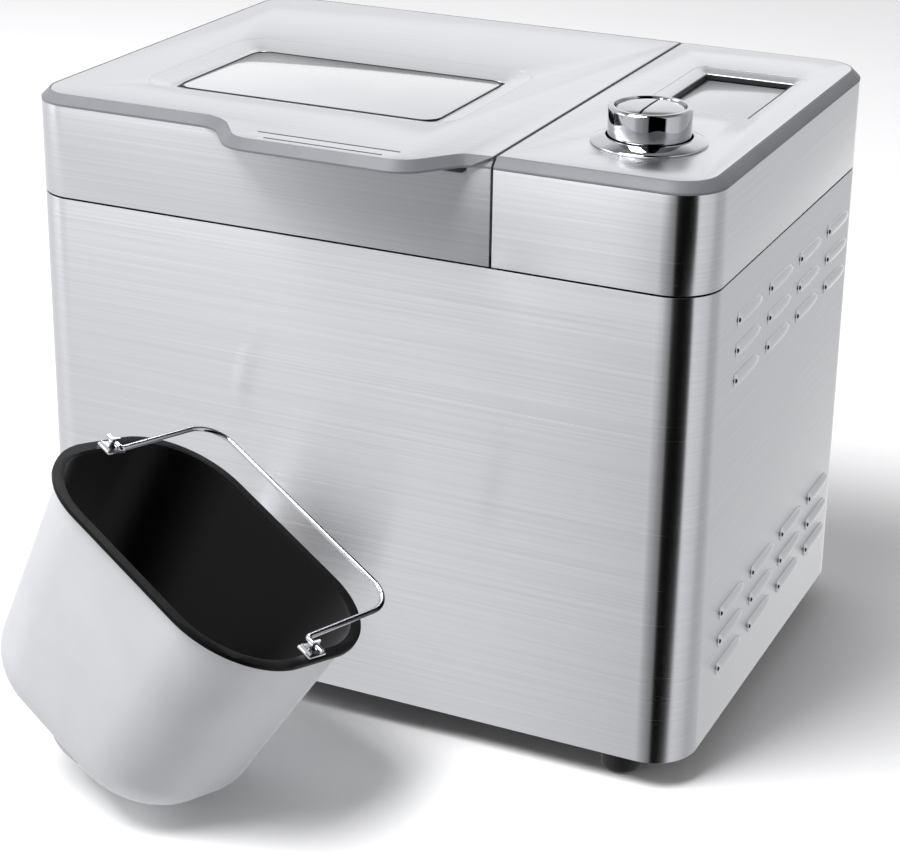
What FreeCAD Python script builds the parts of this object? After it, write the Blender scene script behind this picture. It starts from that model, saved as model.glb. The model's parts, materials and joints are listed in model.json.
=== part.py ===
import FreeCAD, Part
import math
import os
import re

import Sketcher

# Bread machine: a steel-clad countertop appliance with a hinged lid, a control turret and a lift-out pan.
# Row frame: millimetres, +Z up, +Y to the back, origin on the floor under the middle of the casing.
# Every sub-part is an object of one parametric document and takes its sizes from the sheet "size".
# The aliases in the expression texts below are cells of that sheet.

Vector = FreeCAD.Vector
doc = FreeCAD.newDocument("BreadMachine")

# ---------------------------------------------------------------- driving dimensions
SIZES = {
    # casing
    "bodyWidth": 340,
    "bodyDepth": 243.5,
    "cornerRadius": 22,
    "footHeight": 14,
    "seamHeight": 239,      # height of the joint between body and lid
    "capHeight": 45,        # lid and turret skirt, from the seam to the trim
    "sheet": 0.8,           # steel sheet
    "seamGap": 0.8,
    "snug": 0.3,            # clearance between neighbouring parts
    "trimHeight": 5,
    "trimInset": 4,         # slope of the grey trim, seen from above
    "trimWidth": 11,        # width of the trim ring under the top plates
    "lidSplit": 71,         # X of the gap between lid and turret
    "lidGap": 1,
    "wall": 2,              # moulded plastic walls
    # tongue that lifts the lid
    "tongueReach": 26,
    "tongueHalf": 43.5,     # half width at its front edge
    "tongueRoot": 63.5,     # half width where it meets the lid
    "tongueX": -2.5,
    "tongueRound": 9,       # its front corners
    "tongueHollow": 8,      # its root corners
    "grooveWide": 1.1,
    # side louvres
    "louvreLength": 35,
    "louvreTall": 6.5,
    "louvreRise": 1.6,
    "louvrePitchY": 46.5,
    "louvrePitchZ": 14.4,
    "louvreFirstY": -76,
    "louvreLowZ": 44.5,
    "louvreHighZ": 188.5,
    # rear
    "rearMargin": 30,
    "rearLap": 6,
    "glandX": 112,
    "glandZ": 45,
    "cordRadius": 3.8,
    "hingeOut": 4,          # hinge axis behind the rear face
    "knuckle": 3.5,
    "pinRadius": 1.5,
    "running": 0.05,
    # feet
    "footRadius": 9.5,
    "footX": 136,
    "footY": 106,
    # baking chamber
    "chamberX": -49.5,
    "chamberY": -6,
    "chamberLong": 190,
    "chamberWide": 152,
    "chamberFloor": 58,
    "chamberCorner": 20,
    "lipRise": 2,
    # window in the lid
    "windowLong": 138,
    "windowWide": 82,
    "windowY": -29.5,
    "windowCorner": 9,
    "windowSlope": 13,
    "windowSink": 3.4,
    "glass": 3,
    # turret controls
    "screenX": 123.5,
    "screenY": 33,
    "screenWide": 57,
    "screenLong": 86,
    "screenSlope": 6.5,
    "screenSink": 3,
    "dialX": 121.5,
    "dialY": -66,
    "dialRadius": 18.6,
    "dialHeight": 16.5,
    "dialWall": 2,
    "dialPlay": 1,          # between the ring and what stands in it
    "bezelRadius": 26,
    "bezelRise": 3.2,
    "buttonSlot": 1.2,
    # drive
    "shaftRadius": 4,
    "bigPulley": 38,
    "smallPulley": 9,
    "beltTall": 9,
    "beltThick": 2,
    "beltZ": 27,
    "motorX": 118,
    "motorY": 12,
    "motorRadius": 36,
    "motorTall": 62,
    # pan, in its own frame: rim plane at z 0, long side along x
    "panLong": 144.5,
    "panWide": 103.1,
    "panTall": 108,
    "panTaperX": 0.84,
    "panTaperY": 0.9,
    "panCorner": 38.7,
    "panWall": 1.6,
    "panFillet": 22,
    "flange": 3,
    "flangeThick": 1.6,
    "earReach": 75,
    "earHalf": 27,
    "collarRadius": 25,
    "collarTall": 9,
    "paddleShaft": 3.5,
    # bail handle
    "wire": 1.3,
    "pivotX": 69.5,
    "pivotZ": 3.6,
    "bailArm": 58.4,
    "bailCorner": 15,
}
size = doc.addObject("Spreadsheet::Sheet", "size")
for row, (alias, value) in enumerate(SIZES.items(), start=1):
    size.set(f"A{row}", alias)
    size.set(f"B{row}", str(value))
    size.setAlias(f"B{row}", alias)
doc.recompute()

# the pan stands tipped on its lower right edge in front of the casing: rim centre and the pan's axes
PAN_CENTRE = Vector(-27, -200.5, 118.4)
PAN_LONG_AXIS = Vector(0.876, -0.26, -0.405)
PAN_UP_AXIS = Vector(0.445, 0.114, 0.888)

# places that several parts share
left = "(-bodyWidth/2)"
right = "(bodyWidth/2)"
front = "(-bodyDepth/2)"
back = "(bodyDepth/2)"
capTop = "(seamHeight + capHeight)"
plateTop = f"({capTop} + trimHeight)"
lidEdge = "(lidSplit - lidGap/2)"
turretEdge = "(lidSplit + lidGap/2)"
deckTop = "(seamHeight - 1)"
hingeY = f"({back} + hingeOut)"
hingeZ = "(seamHeight + seamGap/2)"
chamberLeft = "(chamberX - chamberLong/2)"
chamberRight = "(chamberX + chamberLong/2)"
chamberFront = "(chamberY - chamberWide/2)"
chamberBack = "(chamberY + chamberWide/2)"
bracketZ = "(chamberFloor - 13)"
motorFoot = f"({bracketZ} + 1.5)"
beltTop = "(beltZ + beltTall)"
tongueRun = "(tongueRoot - tongueHalf)"
tongueSlant = f"sqrt({tongueRun}^2 + tongueReach^2)"
# how far the tongue's corners draw in along X for each millimetre that its outline is drawn in
tongueDraw = f"(({tongueSlant} - {tongueRun})/tongueReach)"

nodes = {}


# ---------------------------------------------------------------- drawing helpers
def cells(text):
    """The text as an expression: each alias gets the sheet's name before it."""
    return re.sub(r"[A-Za-z]\w*", lambda m: "size." + m[0] if m[0] in SIZES else m[0], str(text))


def number(text):
    """The value that an expression has now, as a float."""
    return float(size.evalExpression(cells(text)))


def bind(obj, prop, text):
    """Ties one property to the sheet."""
    obj.setExpression(prop, cells(text))


def keep(label, obj):
    """Names a finished sub-part, which is written to a file of that name."""
    obj.Label = label
    nodes[label] = obj
    return obj


def newBody(name):
    return doc.addObject("PartDesign::Body", name)


def sketch(body, plane="XY", z="0", x="0", y="0"):
    """An empty sketch on one of the body's own planes, moved by x, y and along its normal by z."""
    drawn = body.newObject("Sketcher::SketchObject", body.Name + "Sketch")
    origin = next(o for o in body.Origin.OriginFeatures if o.Role == plane + "_Plane")
    drawn.AttachmentSupport = [(origin, "")]
    drawn.MapMode = "FlatFace"
    for axis, text in (("x", x), ("y", y), ("z", z)):
        if str(text) != "0":
            bind(drawn, "AttachmentOffset.Base." + axis, text)
    return drawn


def fix(drawn, kind, *places, text):
    """A driving constraint whose value is an expression."""
    index = drawn.addConstraint(Sketcher.Constraint(kind, *places, number(text)))
    bind(drawn, f"Constraints[{index}]", text)


def polygon(drawn, corners):
    """Adds a closed outline through the corners, each a pair of expressions."""
    first = drawn.GeometryCount
    points = [Vector(number(x), number(y), 0) for x, y in corners]
    count = len(points)
    for i in range(count):
        drawn.addGeometry(Part.LineSegment(points[i], points[(i + 1) % count]))
    for i in range(count):
        drawn.addConstraint(Sketcher.Constraint("Coincident", first + i, 2, first + (i + 1) % count, 1))
    for i, (x, y) in enumerate(corners):
        fix(drawn, "DistanceX", -1, 1, first + i, 1, text=x)
        fix(drawn, "DistanceY", -1, 1, first + i, 1, text=y)
    return drawn


def rectangle(drawn, x0, x1, y0, y1):
    return polygon(drawn, [(x0, y0), (x1, y0), (x1, y1), (x0, y1)])


def roundedRectangle(drawn, x0, x1, y0, y1, r):
    """Adds a rectangle with arcs of radius r at its corners."""
    first = drawn.GeometryCount
    a, b, c, d, radius = (number(t) for t in (x0, x1, y0, y1, r))
    straight = [
        ((a + radius, c), (b - radius, c)),
        ((b, c + radius), (b, d - radius)),
        ((b - radius, d), (a + radius, d)),
        ((a, d - radius), (a, c + radius)),
    ]
    for (px, py), (qx, qy) in straight:
        drawn.addGeometry(Part.LineSegment(Vector(px, py, 0), Vector(qx, qy, 0)))
    centres = [(b - radius, c + radius), (b - radius, d - radius), (a + radius, d - radius),
               (a + radius, c + radius)]
    for i, (px, py) in enumerate(centres):
        circle = Part.Circle(Vector(px, py, 0), Vector(0, 0, 1), radius)
        start = math.radians(90 * (i - 1))
        drawn.addGeometry(Part.ArcOfCircle(circle, start, start + math.pi / 2))
    for i in range(4):
        drawn.addConstraint(Sketcher.Constraint("Tangent", first + i, 2, first + 4 + i, 1))
        drawn.addConstraint(Sketcher.Constraint("Tangent", first + 4 + i, 2, first + (i + 1) % 4, 1))
    for i in range(4):
        way = "Horizontal" if i % 2 == 0 else "Vertical"
        drawn.addConstraint(Sketcher.Constraint(way, first + i))
    for i in range(1, 4):
        drawn.addConstraint(Sketcher.Constraint("Equal", first + 4, first + 4 + i))
    fix(drawn, "Radius", first + 4, text=r)
    fix(drawn, "DistanceX", -1, 1, first + 3, 1, text=x0)
    fix(drawn, "DistanceX", -1, 1, first + 1, 1, text=x1)
    fix(drawn, "DistanceY", -1, 1, first, 1, text=y0)
    fix(drawn, "DistanceY", -1, 1, first + 2, 1, text=y1)
    return drawn


def capRectangle(drawn, x0, x1, y0, y1, r):
    """Adds a rectangle rounded only on the casing's outer side, square along the lid split."""
    first = drawn.GeometryCount
    a, b, c, d, radius = (number(t) for t in (x0, x1, y0, y1, r))
    way = 1 if abs(b) > abs(a) else -1
    flat, far = (a, b) if way > 0 else (b, a)
    inner = far - way * radius
    points = [(flat, c), (inner, c), (far, c + radius), (far, d - radius), (inner, d), (flat, d)]
    for i in (0, 2, 4, 5):
        (px, py), (qx, qy) = points[i], points[(i + 1) % 6]
        drawn.addGeometry(Part.LineSegment(Vector(px, py, 0), Vector(qx, qy, 0)))
    for i, y in enumerate((c + radius, d - radius)):
        circle = Part.Circle(Vector(inner, y, 0), Vector(0, 0, 1), radius)
        start = (-math.pi / 2, 0)[i] if way > 0 else (math.pi, math.pi / 2)[i]
        drawn.addGeometry(Part.ArcOfCircle(circle, start, start + math.pi / 2))
    low, side, high, split = first, first + 1, first + 2, first + 3
    enter, leave = (1, 2) if way > 0 else (2, 1)
    for line, end, arc, arcEnd in ((low, 2, first + 4, enter), (side, 1, first + 4, leave),
                                   (side, 2, first + 5, enter), (high, 1, first + 5, leave)):
        drawn.addConstraint(Sketcher.Constraint("Tangent", line, end, arc, arcEnd))
    drawn.addConstraint(Sketcher.Constraint("Coincident", high, 2, split, 1))
    drawn.addConstraint(Sketcher.Constraint("Coincident", split, 2, low, 1))
    for line, kind in ((low, "Horizontal"), (high, "Horizontal"), (side, "Vertical"), (split, "Vertical")):
        drawn.addConstraint(Sketcher.Constraint(kind, line))
    drawn.addConstraint(Sketcher.Constraint("Equal", first + 4, first + 5))
    fix(drawn, "Radius", first + 4, text=r)
    fix(drawn, "DistanceX", -1, 1, side, 1, text=x1 if way > 0 else x0)
    fix(drawn, "DistanceX", -1, 1, split, 1, text=x0 if way > 0 else x1)
    fix(drawn, "DistanceY", -1, 1, low, 1, text=y0)
    fix(drawn, "DistanceY", -1, 1, high, 1, text=y1)
    return drawn


def circle(drawn, x, y, r):
    first = drawn.GeometryCount
    drawn.addGeometry(Part.Circle(Vector(number(x), number(y), 0), Vector(0, 0, 1), number(r)))
    fix(drawn, "Radius", first, text=r)
    fix(drawn, "DistanceX", -1, 1, first, 3, text=x)
    fix(drawn, "DistanceY", -1, 1, first, 3, text=y)
    return drawn


def pad(drawn, length, reverse=False):
    body = drawn.getParentGeoFeatureGroup()
    made = body.newObject("PartDesign::Pad", body.Name + "Pad")
    made.Profile = drawn
    made.Reversed = reverse
    bind(made, "Length", length)
    doc.recompute()
    return made


def pocket(drawn, depth, reverse=False):
    """Cuts the sketch away, against its normal unless reversed, and checks that it cut something."""
    body = drawn.getParentGeoFeatureGroup()
    before = body.Shape.Volume
    made = body.newObject("PartDesign::Pocket", body.Name + "Pocket")
    made.Profile = drawn
    made.Reversed = reverse
    bind(made, "Length", depth)
    doc.recompute()
    if not made.Shape.Volume < before - 1e-6:
        raise RuntimeError(f"{made.Name} cuts nothing")
    return made


def revolve(drawn, groove=False):
    """Turns the sketch about its own vertical axis."""
    body = drawn.getParentGeoFeatureGroup()
    kind = "Groove" if groove else "Revolution"
    made = body.newObject("PartDesign::" + kind, body.Name + kind)
    made.Profile = drawn
    made.ReferenceAxis = (drawn, ["V_Axis"])
    made.Angle = 360
    doc.recompute()
    return made


def loft(drawn, other, cut=False):
    body = drawn.getParentGeoFeatureGroup()
    kind = "SubtractiveLoft" if cut else "AdditiveLoft"
    made = body.newObject("PartDesign::" + kind, body.Name + kind)
    made.Profile = drawn
    made.Sections = [other]
    doc.recompute()
    return made


def dress(feature, radius, wanted, kind="Fillet"):
    """Fillets or chamfers the edges of a feature for which wanted(edge) holds."""
    body = feature.getParentGeoFeatureGroup()
    names = [f"Edge{i}" for i, edge in enumerate(feature.Shape.Edges, start=1) if wanted(edge)]
    if not names:
        raise RuntimeError(f"no edge to dress on {feature.Name}")
    made = body.newObject("PartDesign::" + kind, body.Name + kind)
    made.Base = (feature, names)
    bind(made, "Radius" if kind == "Fillet" else "Size", radius)
    doc.recompute()
    return made


def upright(*places):
    """Picks vertical edges, at the given x, y places or, with none given, all of them."""
    spots = [(number(x), number(y)) for x, y in places]

    def wanted(edge):
        ends = [v.Point for v in edge.Vertexes]
        if len(ends) != 2 or abs(ends[0].x - ends[1].x) + abs(ends[0].y - ends[1].y) > 1e-6:
            return False
        return not spots or any(abs(ends[0].x - x) + abs(ends[0].y - y) < 1e-3 for x, y in spots)

    return wanted


def level(z, inside=None):
    """Picks edges that lie at height z, within the box inside = (x0, x1, y0, y1) if it is given."""
    height = number(z)
    box = None if inside is None else [number(t) for t in inside]

    def wanted(edge):
        bounds = edge.BoundBox
        if abs(bounds.ZMin - height) + abs(bounds.ZMax - height) > 1e-4:
            return False
        if box is None:
            return True
        middle = bounds.Center
        return box[0] < middle.x < box[1] and box[2] < middle.y < box[3]

    return wanted


def block(name, x0, x1, y0, y1, z0, z1):
    """A Part box between six expressions."""
    made = doc.addObject("Part::Box", name)
    for side, low, high in (("Length", x0, x1), ("Width", y0, y1), ("Height", z0, z1)):
        bind(made, side, f"({high}) - ({low})")
    for axis, low in (("x", x0), ("y", y0), ("z", z0)):
        bind(made, "Placement.Base." + axis, low)
    return made


def rod(name, x, y, z, radius, length, along="Z"):
    """A Part cylinder that starts at x, y, z and runs along one axis."""
    made = doc.addObject("Part::Cylinder", name)
    bind(made, "Radius", radius)
    bind(made, "Height", length)
    turn = {"Z": (Vector(0, 0, 1), 0), "X": (Vector(0, 1, 0), 90), "Y": (Vector(1, 0, 0), -90)}[along]
    made.Placement = FreeCAD.Placement(Vector(0, 0, 0), FreeCAD.Rotation(*turn))
    for axis, text in (("x", x), ("y", y), ("z", z)):
        bind(made, "Placement.Base." + axis, text)
    return made


def fuse(name, parts):
    made = doc.addObject("Part::MultiFuse", name)
    made.Shapes = parts
    made.Refine = True
    return made


def cut(name, base, tools):
    """The base without the tools."""
    made = doc.addObject("Part::Cut", name)
    made.Base = base
    made.Tool = tools[0] if len(tools) == 1 else fuse(name + "Tools", tools)
    made.Refine = True
    return made


def group(name, parts):
    """Separate solids that share one node."""
    made = doc.addObject("Part::Compound", name)
    made.Links = parts
    return made


# ---------------------------------------------------------------- casing
def bodyWrap():
    """Steel band round the body, with a rear cut-out and pressed louvres on both sides."""
    body = newBody("wrap")
    outline = roundedRectangle(sketch(body, z="footHeight"), left, right, front, back, "cornerRadius")
    pad(outline, "seamHeight - footHeight")
    hollow = roundedRectangle(sketch(body, z="seamHeight"), f"{left} + sheet", f"{right} - sheet",
                              f"{front} + sheet", f"{back} - sheet", "cornerRadius - sheet")
    pocket(hollow, "seamHeight - footHeight")
    opening = sketch(body, "XZ", z=f"-{back} - 1")
    rectangle(opening, f"{left} + rearMargin", f"{right} - rearMargin",
              "footHeight + rearMargin/2", "seamHeight - rearMargin")
    pocket(opening, "sheet + 10", reverse=True)
    features = louvre(body)
    pattern = body.newObject("PartDesign::MultiTransform", "louvreField")
    pattern.Originals = features
    steps = []
    for name, axis, count, length in (
        ("louvreColumns", "H_Axis", 4, "louvrePitchY*3"),
        ("louvreRows", "V_Axis", 3, "louvrePitchZ*2"),
        ("louvreFields", "V_Axis", 2, "louvreHighZ - louvreLowZ"),
    ):
        step = body.newObject("PartDesign::LinearPattern", name)
        step.Direction = (features[0].Profile[0], [axis])
        step.Occurrences = count
        bind(step, "Length", length)
        steps.append(step)
    mirror = body.newObject("PartDesign::Mirrored", "louvreSides")
    plane = next(o for o in body.Origin.OriginFeatures if o.Role == "YZ_Plane")
    mirror.MirrorPlane = (plane, [""])
    steps.append(mirror)
    pattern.Transformations = steps
    body.Tip = pattern
    doc.recompute()
    keep("body_wrap", body)


def louvre(body):
    """One louvre on the right side: a raised bridge, hollow behind, with a slit at its front end."""
    y0 = "louvreFirstY"
    y1 = "louvreFirstY + louvreLength"
    z0 = "footHeight + louvreLowZ - louvrePitchZ - louvreTall/2"
    z1 = "footHeight + louvreLowZ - louvrePitchZ + louvreTall/2"
    bump = rectangle(sketch(body, "YZ", z=f"{right} - sheet/2"), y0, y1, z0, z1)
    bump = pad(bump, "louvreRise + sheet/2")
    inside = rectangle(sketch(body, "YZ", z=f"{right} + louvreRise - sheet"), f"{y0} + sheet",
                       f"{y1} - sheet", f"{z0} + sheet", f"{z1} - sheet")
    inside = pocket(inside, "louvreRise + sheet")
    slit = rectangle(sketch(body, "YZ", z=f"{right} + louvreRise - sheet"), f"{y0} - 1",
                     f"{y0} + sheet + 1", f"{z0} + sheet", f"{z1} - sheet")
    slit = pocket(slit, "louvreRise - sheet")
    return [bump, inside, slit]


def rearPanel():
    """Moulded rear panel: a flange inside the steel band and a raised field with air slots."""
    body = newBody("rear")
    x0, x1 = f"{left} + rearMargin", f"{right} - rearMargin"
    z0, z1 = "footHeight + rearMargin/2", "seamHeight - rearMargin"
    inner = sketch(body, "XZ", z=f"-{back} + sheet")
    rectangle(inner, f"{x0} - rearLap", f"{x1} + rearLap", f"{z0} - rearLap", f"{z1} + rearLap")
    pad(inner, "wall")
    field = sketch(body, "XZ", z=f"-{back}")
    rectangle(field, f"{x0} + snug", f"{x1} - snug", f"{z0} + snug", f"{z1} - snug")
    pad(field, "sheet + wall/2")
    slots = sketch(body, "XZ", z=f"-{back} - 1")
    for column in range(3):
        for line in range(7):
            x = f"{x0} + 25 + {column}*70"
            z = f"{z1} - 20 - {line}*9"
            rectangle(slots, x, f"{x} + 52", z, f"{z} + 3")
    pocket(slots, "sheet + wall + 6", reverse=True)
    bore = circle(sketch(body, "XZ", z=f"-{back} - 1"), "glandX", "glandZ", "cordRadius + 4")
    pocket(bore, "sheet + wall + 6", reverse=True)
    keep("rear_panel", body)
    screws = []
    for side, x in enumerate((f"{x0} - rearLap/2", f"{x1} + rearLap/2")):
        for end, z in enumerate((f"{z0} + 30", f"{z1} - 30")):
            screws.append(rod(f"rearScrew{side}{end}", x, back, z, 2.6, 1.6, "Y"))
    keep("rear_screws", group("rearScrews", screws))


def cordGland():
    """Stepped bush that clamps the mains lead in the rear panel."""
    outer = rod("glandHead", "glandX", back, "glandZ", "cordRadius + 6.5", 4, "Y")
    neck = rod("glandNeck", "glandX", f"{back} - sheet - wall - 5", "glandZ", "cordRadius + 4 - snug",
               "sheet + wall + 5.5", "Y")
    nut = rod("glandNut", "glandX", f"{back} - sheet - wall - 5", "glandZ", "cordRadius + 6.5", 4.5, "Y")
    bore = rod("glandBore", "glandX", f"{back} - 30", "glandZ", "cordRadius", 60, "Y")
    keep("cord_gland", cut("gland", fuse("glandParts", [outer, neck, nut]), [bore]))


def baseTray():
    """Bottom tray inside the band, the four feet and their screws."""
    body = newBody("base")
    gap = "(sheet + snug)"
    outline = roundedRectangle(sketch(body, z="footHeight"), f"{left} + {gap}", f"{right} - {gap}",
                               f"{front} + {gap}", f"{back} - {gap}", f"cornerRadius - {gap}")
    pad(outline, "9")
    hollow = roundedRectangle(sketch(body, z="footHeight + 9"), f"{left} + {gap} + wall",
                              f"{right} - {gap} - wall", f"{front} + {gap} + wall",
                              f"{back} - {gap} - wall", f"cornerRadius - {gap} - wall")
    pocket(hollow, "9 - wall")
    slots = sketch(body, z="footHeight + 20")
    for line in range(6):
        y = f"-45 + {line}*16"
        rectangle(slots, "85", "140", y, f"{y} + 4")
    for x in ("-footX", "footX"):
        for y in ("-footY", "footY"):
            circle(slots, x, y, "1.6")
    pocket(slots, "40")
    keep("base_tray", body)
    feet, screws = [], []
    for i, (sx, sy) in enumerate(((-1, -1), (1, -1), (1, 1), (-1, 1))):
        foot = newBody(f"foot{i}")
        profile = sketch(foot, "XZ", x=f"{sx}*footX", z=f"{-sy}*footY")
        polygon(profile, [("1.6", "footHeight - 3"), ("4.5", "footHeight - 3"), ("4.5", "0.8"),
                          ("5.3", "0"), ("footRadius - 2.5", "0"), ("footRadius - 0.6", "1.4"),
                          ("footRadius", "4"), ("footRadius", "footHeight"), ("1.6", "footHeight")])
        revolve(profile)
        feet.append(foot)
        at = (f"{sx}*footX", f"{sy}*footY")
        head = rod(f"footScrewHead{i}", *at, "footHeight - 5.4", 3.6, 2.4)
        shank = rod(f"footScrewShank{i}", *at, "footHeight - 4", 1.5, "4 + wall + 4")
        screws.append(fuse(f"footScrew{i}", [head, shank]))
    keep("rubber_feet", group("feet", feet))
    keep("foot_screws", group("footScrews", screws))


def topDeck():
    """Moulded deck that closes the body under the lid, with a lip round the chamber mouth."""
    body = newBody("deck")
    gap = "(sheet + snug)"
    outline = roundedRectangle(sketch(body, z=f"{deckTop} - 3"), f"{left} + {gap}", f"{right} - {gap}",
                               f"{front} + {gap}", f"{back} - {gap}", f"cornerRadius - {gap}")
    pad(outline, "3")
    mouth = ("chamberCorner + 6",)
    lip = roundedRectangle(sketch(body, z=f"{deckTop} - 1"), f"{chamberLeft} - 6", f"{chamberRight} + 6",
                           f"{chamberFront} - 6", f"{chamberBack} + 6", *mouth)
    pad(lip, "1 + lipRise")
    hole = roundedRectangle(sketch(body, z=f"{deckTop} + 10"), chamberLeft, chamberRight, chamberFront,
                            chamberBack, "chamberCorner")
    pocket(hole, "20")
    wires = rectangle(sketch(body, z=f"{deckTop} + 1"), "95", "150", "-20", "40")
    pocket(wires, "10")
    keep("top_deck", body)


# ---------------------------------------------------------------- baking chamber and heater
def bakingChamber():
    """Steel oven box with a top flange, and holes for the shaft, the heater ends and the probe."""
    body = newBody("chamber")
    box = roundedRectangle(sketch(body, z="chamberFloor - sheet"), f"{chamberLeft} - sheet",
                           f"{chamberRight} + sheet", f"{chamberFront} - sheet",
                           f"{chamberBack} + sheet", "chamberCorner + sheet")
    pad(box, f"{deckTop} - 3 - chamberFloor + sheet")
    rim = roundedRectangle(sketch(body, z=f"{deckTop} - 3 - sheet"), f"{chamberLeft} - 9",
                           f"{chamberRight} + 9", f"{chamberFront} - 9", f"{chamberBack} + 9",
                           "chamberCorner + 9")
    pad(rim, "sheet")
    hollow = roundedRectangle(sketch(body, z=f"{deckTop} - 3"), chamberLeft, chamberRight, chamberFront,
                              chamberBack, "chamberCorner")
    pocket(hollow, f"{deckTop} - 3 - chamberFloor")
    pocket(circle(sketch(body, z="chamberFloor + 1"), "chamberX", "chamberY", "15"), "5")
    sides = sketch(body, "YZ", z=f"{chamberRight} + 5")
    for y in ("chamberY - 14", "chamberY + 14"):
        circle(sides, y, "chamberFloor + 20", "4.6")
    circle(sides, "chamberY + 45", "chamberFloor + 70", "4.4")
    pocket(sides, "12")
    keep("baking_chamber", body)


def heater():
    """Tubular loop heater round the foot of the chamber, its clips and its ceramic bushes."""
    z = "(chamberFloor + 20)"
    inset, radius, tube = 9.0, 16.0, 3.1
    x0, x1 = number(chamberLeft) + inset, number(chamberRight) - inset
    y0, y1 = number(chamberFront) + inset, number(chamberBack) - inset
    height, yMid, out = number(z), number("chamberY"), number(chamberRight) + 16
    half = 14.0
    corners = [(out, yMid - half), (x1, yMid - half), (x1, y0), (x0, y0), (x0, y1), (x1, y1),
               (x1, yMid + half), (out, yMid + half)]
    bends = [None, 8.0, radius, radius, radius, radius, 8.0, None]
    path = roundedPath([Vector(x, y, height) for x, y in corners], bends)
    shape = sweepTube(path, tube)
    element = doc.addObject("Part::Feature", "element")
    element.Shape = shape
    keep("heating_element", element)
    clips = []
    for i, (x, y) in enumerate((("chamberX - 45", f"{chamberFront} + {inset}"),
                                ("chamberX + 40", f"{chamberFront} + {inset}"),
                                ("chamberX - 45", f"{chamberBack} - {inset}"),
                                ("chamberX + 40", f"{chamberBack} - {inset}"))):
        post = block(f"clipPost{i}", f"{x} - 1", f"{x} + 1", f"{y} - 6", f"{y} + 6",
                     "chamberFloor", f"{z} + 5")
        hole = rod(f"clipHole{i}", f"{x} - 5", y, z, f"{tube} + snug", 10, "X")
        foot = block(f"clipFoot{i}", f"{x} - 5", f"{x} + 5", f"{y} - 6", f"{y} + 6",
                     "chamberFloor", "chamberFloor + 1")
        clips.append(cut(f"clip{i}", fuse(f"clipBlank{i}", [post, foot]), [hole]))
    keep("heater_clips", group("clips", clips))
    bushes = []
    for i, y in enumerate((f"chamberY - {half}", f"chamberY + {half}")):
        barrel = rod(f"bushBarrel{i}", f"{chamberRight} - 2", y, z, "4.6 - snug/3", 10, "X")
        collar = rod(f"bushCollar{i}", f"{chamberRight} + sheet", y, z, 6.5, 5, "X")
        bore = rod(f"bushBore{i}", f"{chamberRight} - 10", y, z, tube + 0.1, 40, "X")
        bushes.append(cut(f"bush{i}", fuse(f"bushBlank{i}", [barrel, collar]), [bore]))
    keep("heater_bushes", group("bushes", bushes))


def roundedPath(points, radii):
    """A wire of straight runs joined by tangent arcs of the given radii, None at a free end."""
    edges = []
    start = points[0]
    for before, corner, after, radius in zip(points, points[1:], points[2:], radii[1:]):
        into = (corner - before).normalize()
        out = (after - corner).normalize()
        turn = into.getAngle(out)
        reach = radius * math.tan(turn / 2)
        first = corner - into * reach
        last = corner + out * reach
        bisector = (out - into).normalize()
        middle = corner + bisector * (radius / math.cos(turn / 2) - radius)
        edges.append(Part.LineSegment(start, first).toShape())
        edges.append(Part.Arc(first, middle, last).toShape())
        start = last
    edges.append(Part.LineSegment(start, points[-1]).toShape())
    return Part.Wire(edges)


def sweepTube(path, radius):
    """A round bar of that radius along a wire."""
    edge = path.Edges[0]
    direction = edge.tangentAt(edge.FirstParameter)
    ring = Part.Wire(Part.Circle(edge.valueAt(edge.FirstParameter), direction, radius).toShape())
    return path.makePipeShell([ring], True, False)


def probe():
    """Temperature probe in the chamber's right wall: a ceramic holder with the sensing tip through it."""
    y, z = "(chamberY + 45)", "(chamberFloor + 70)"
    holder = rod("probeBarrel", f"{chamberRight} + sheet", y, z, 7.5, 14, "X")
    seat = rod("probeSeat", f"{chamberRight} - 1", y, z, "4.4 - snug/3", 6, "X")
    tip = rod("probeTip", f"{chamberRight} - 5", y, z, 2.5, 22, "X")
    keep("temperature_probe", fuse("temperatureProbe", [holder, seat, tip]))


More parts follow.
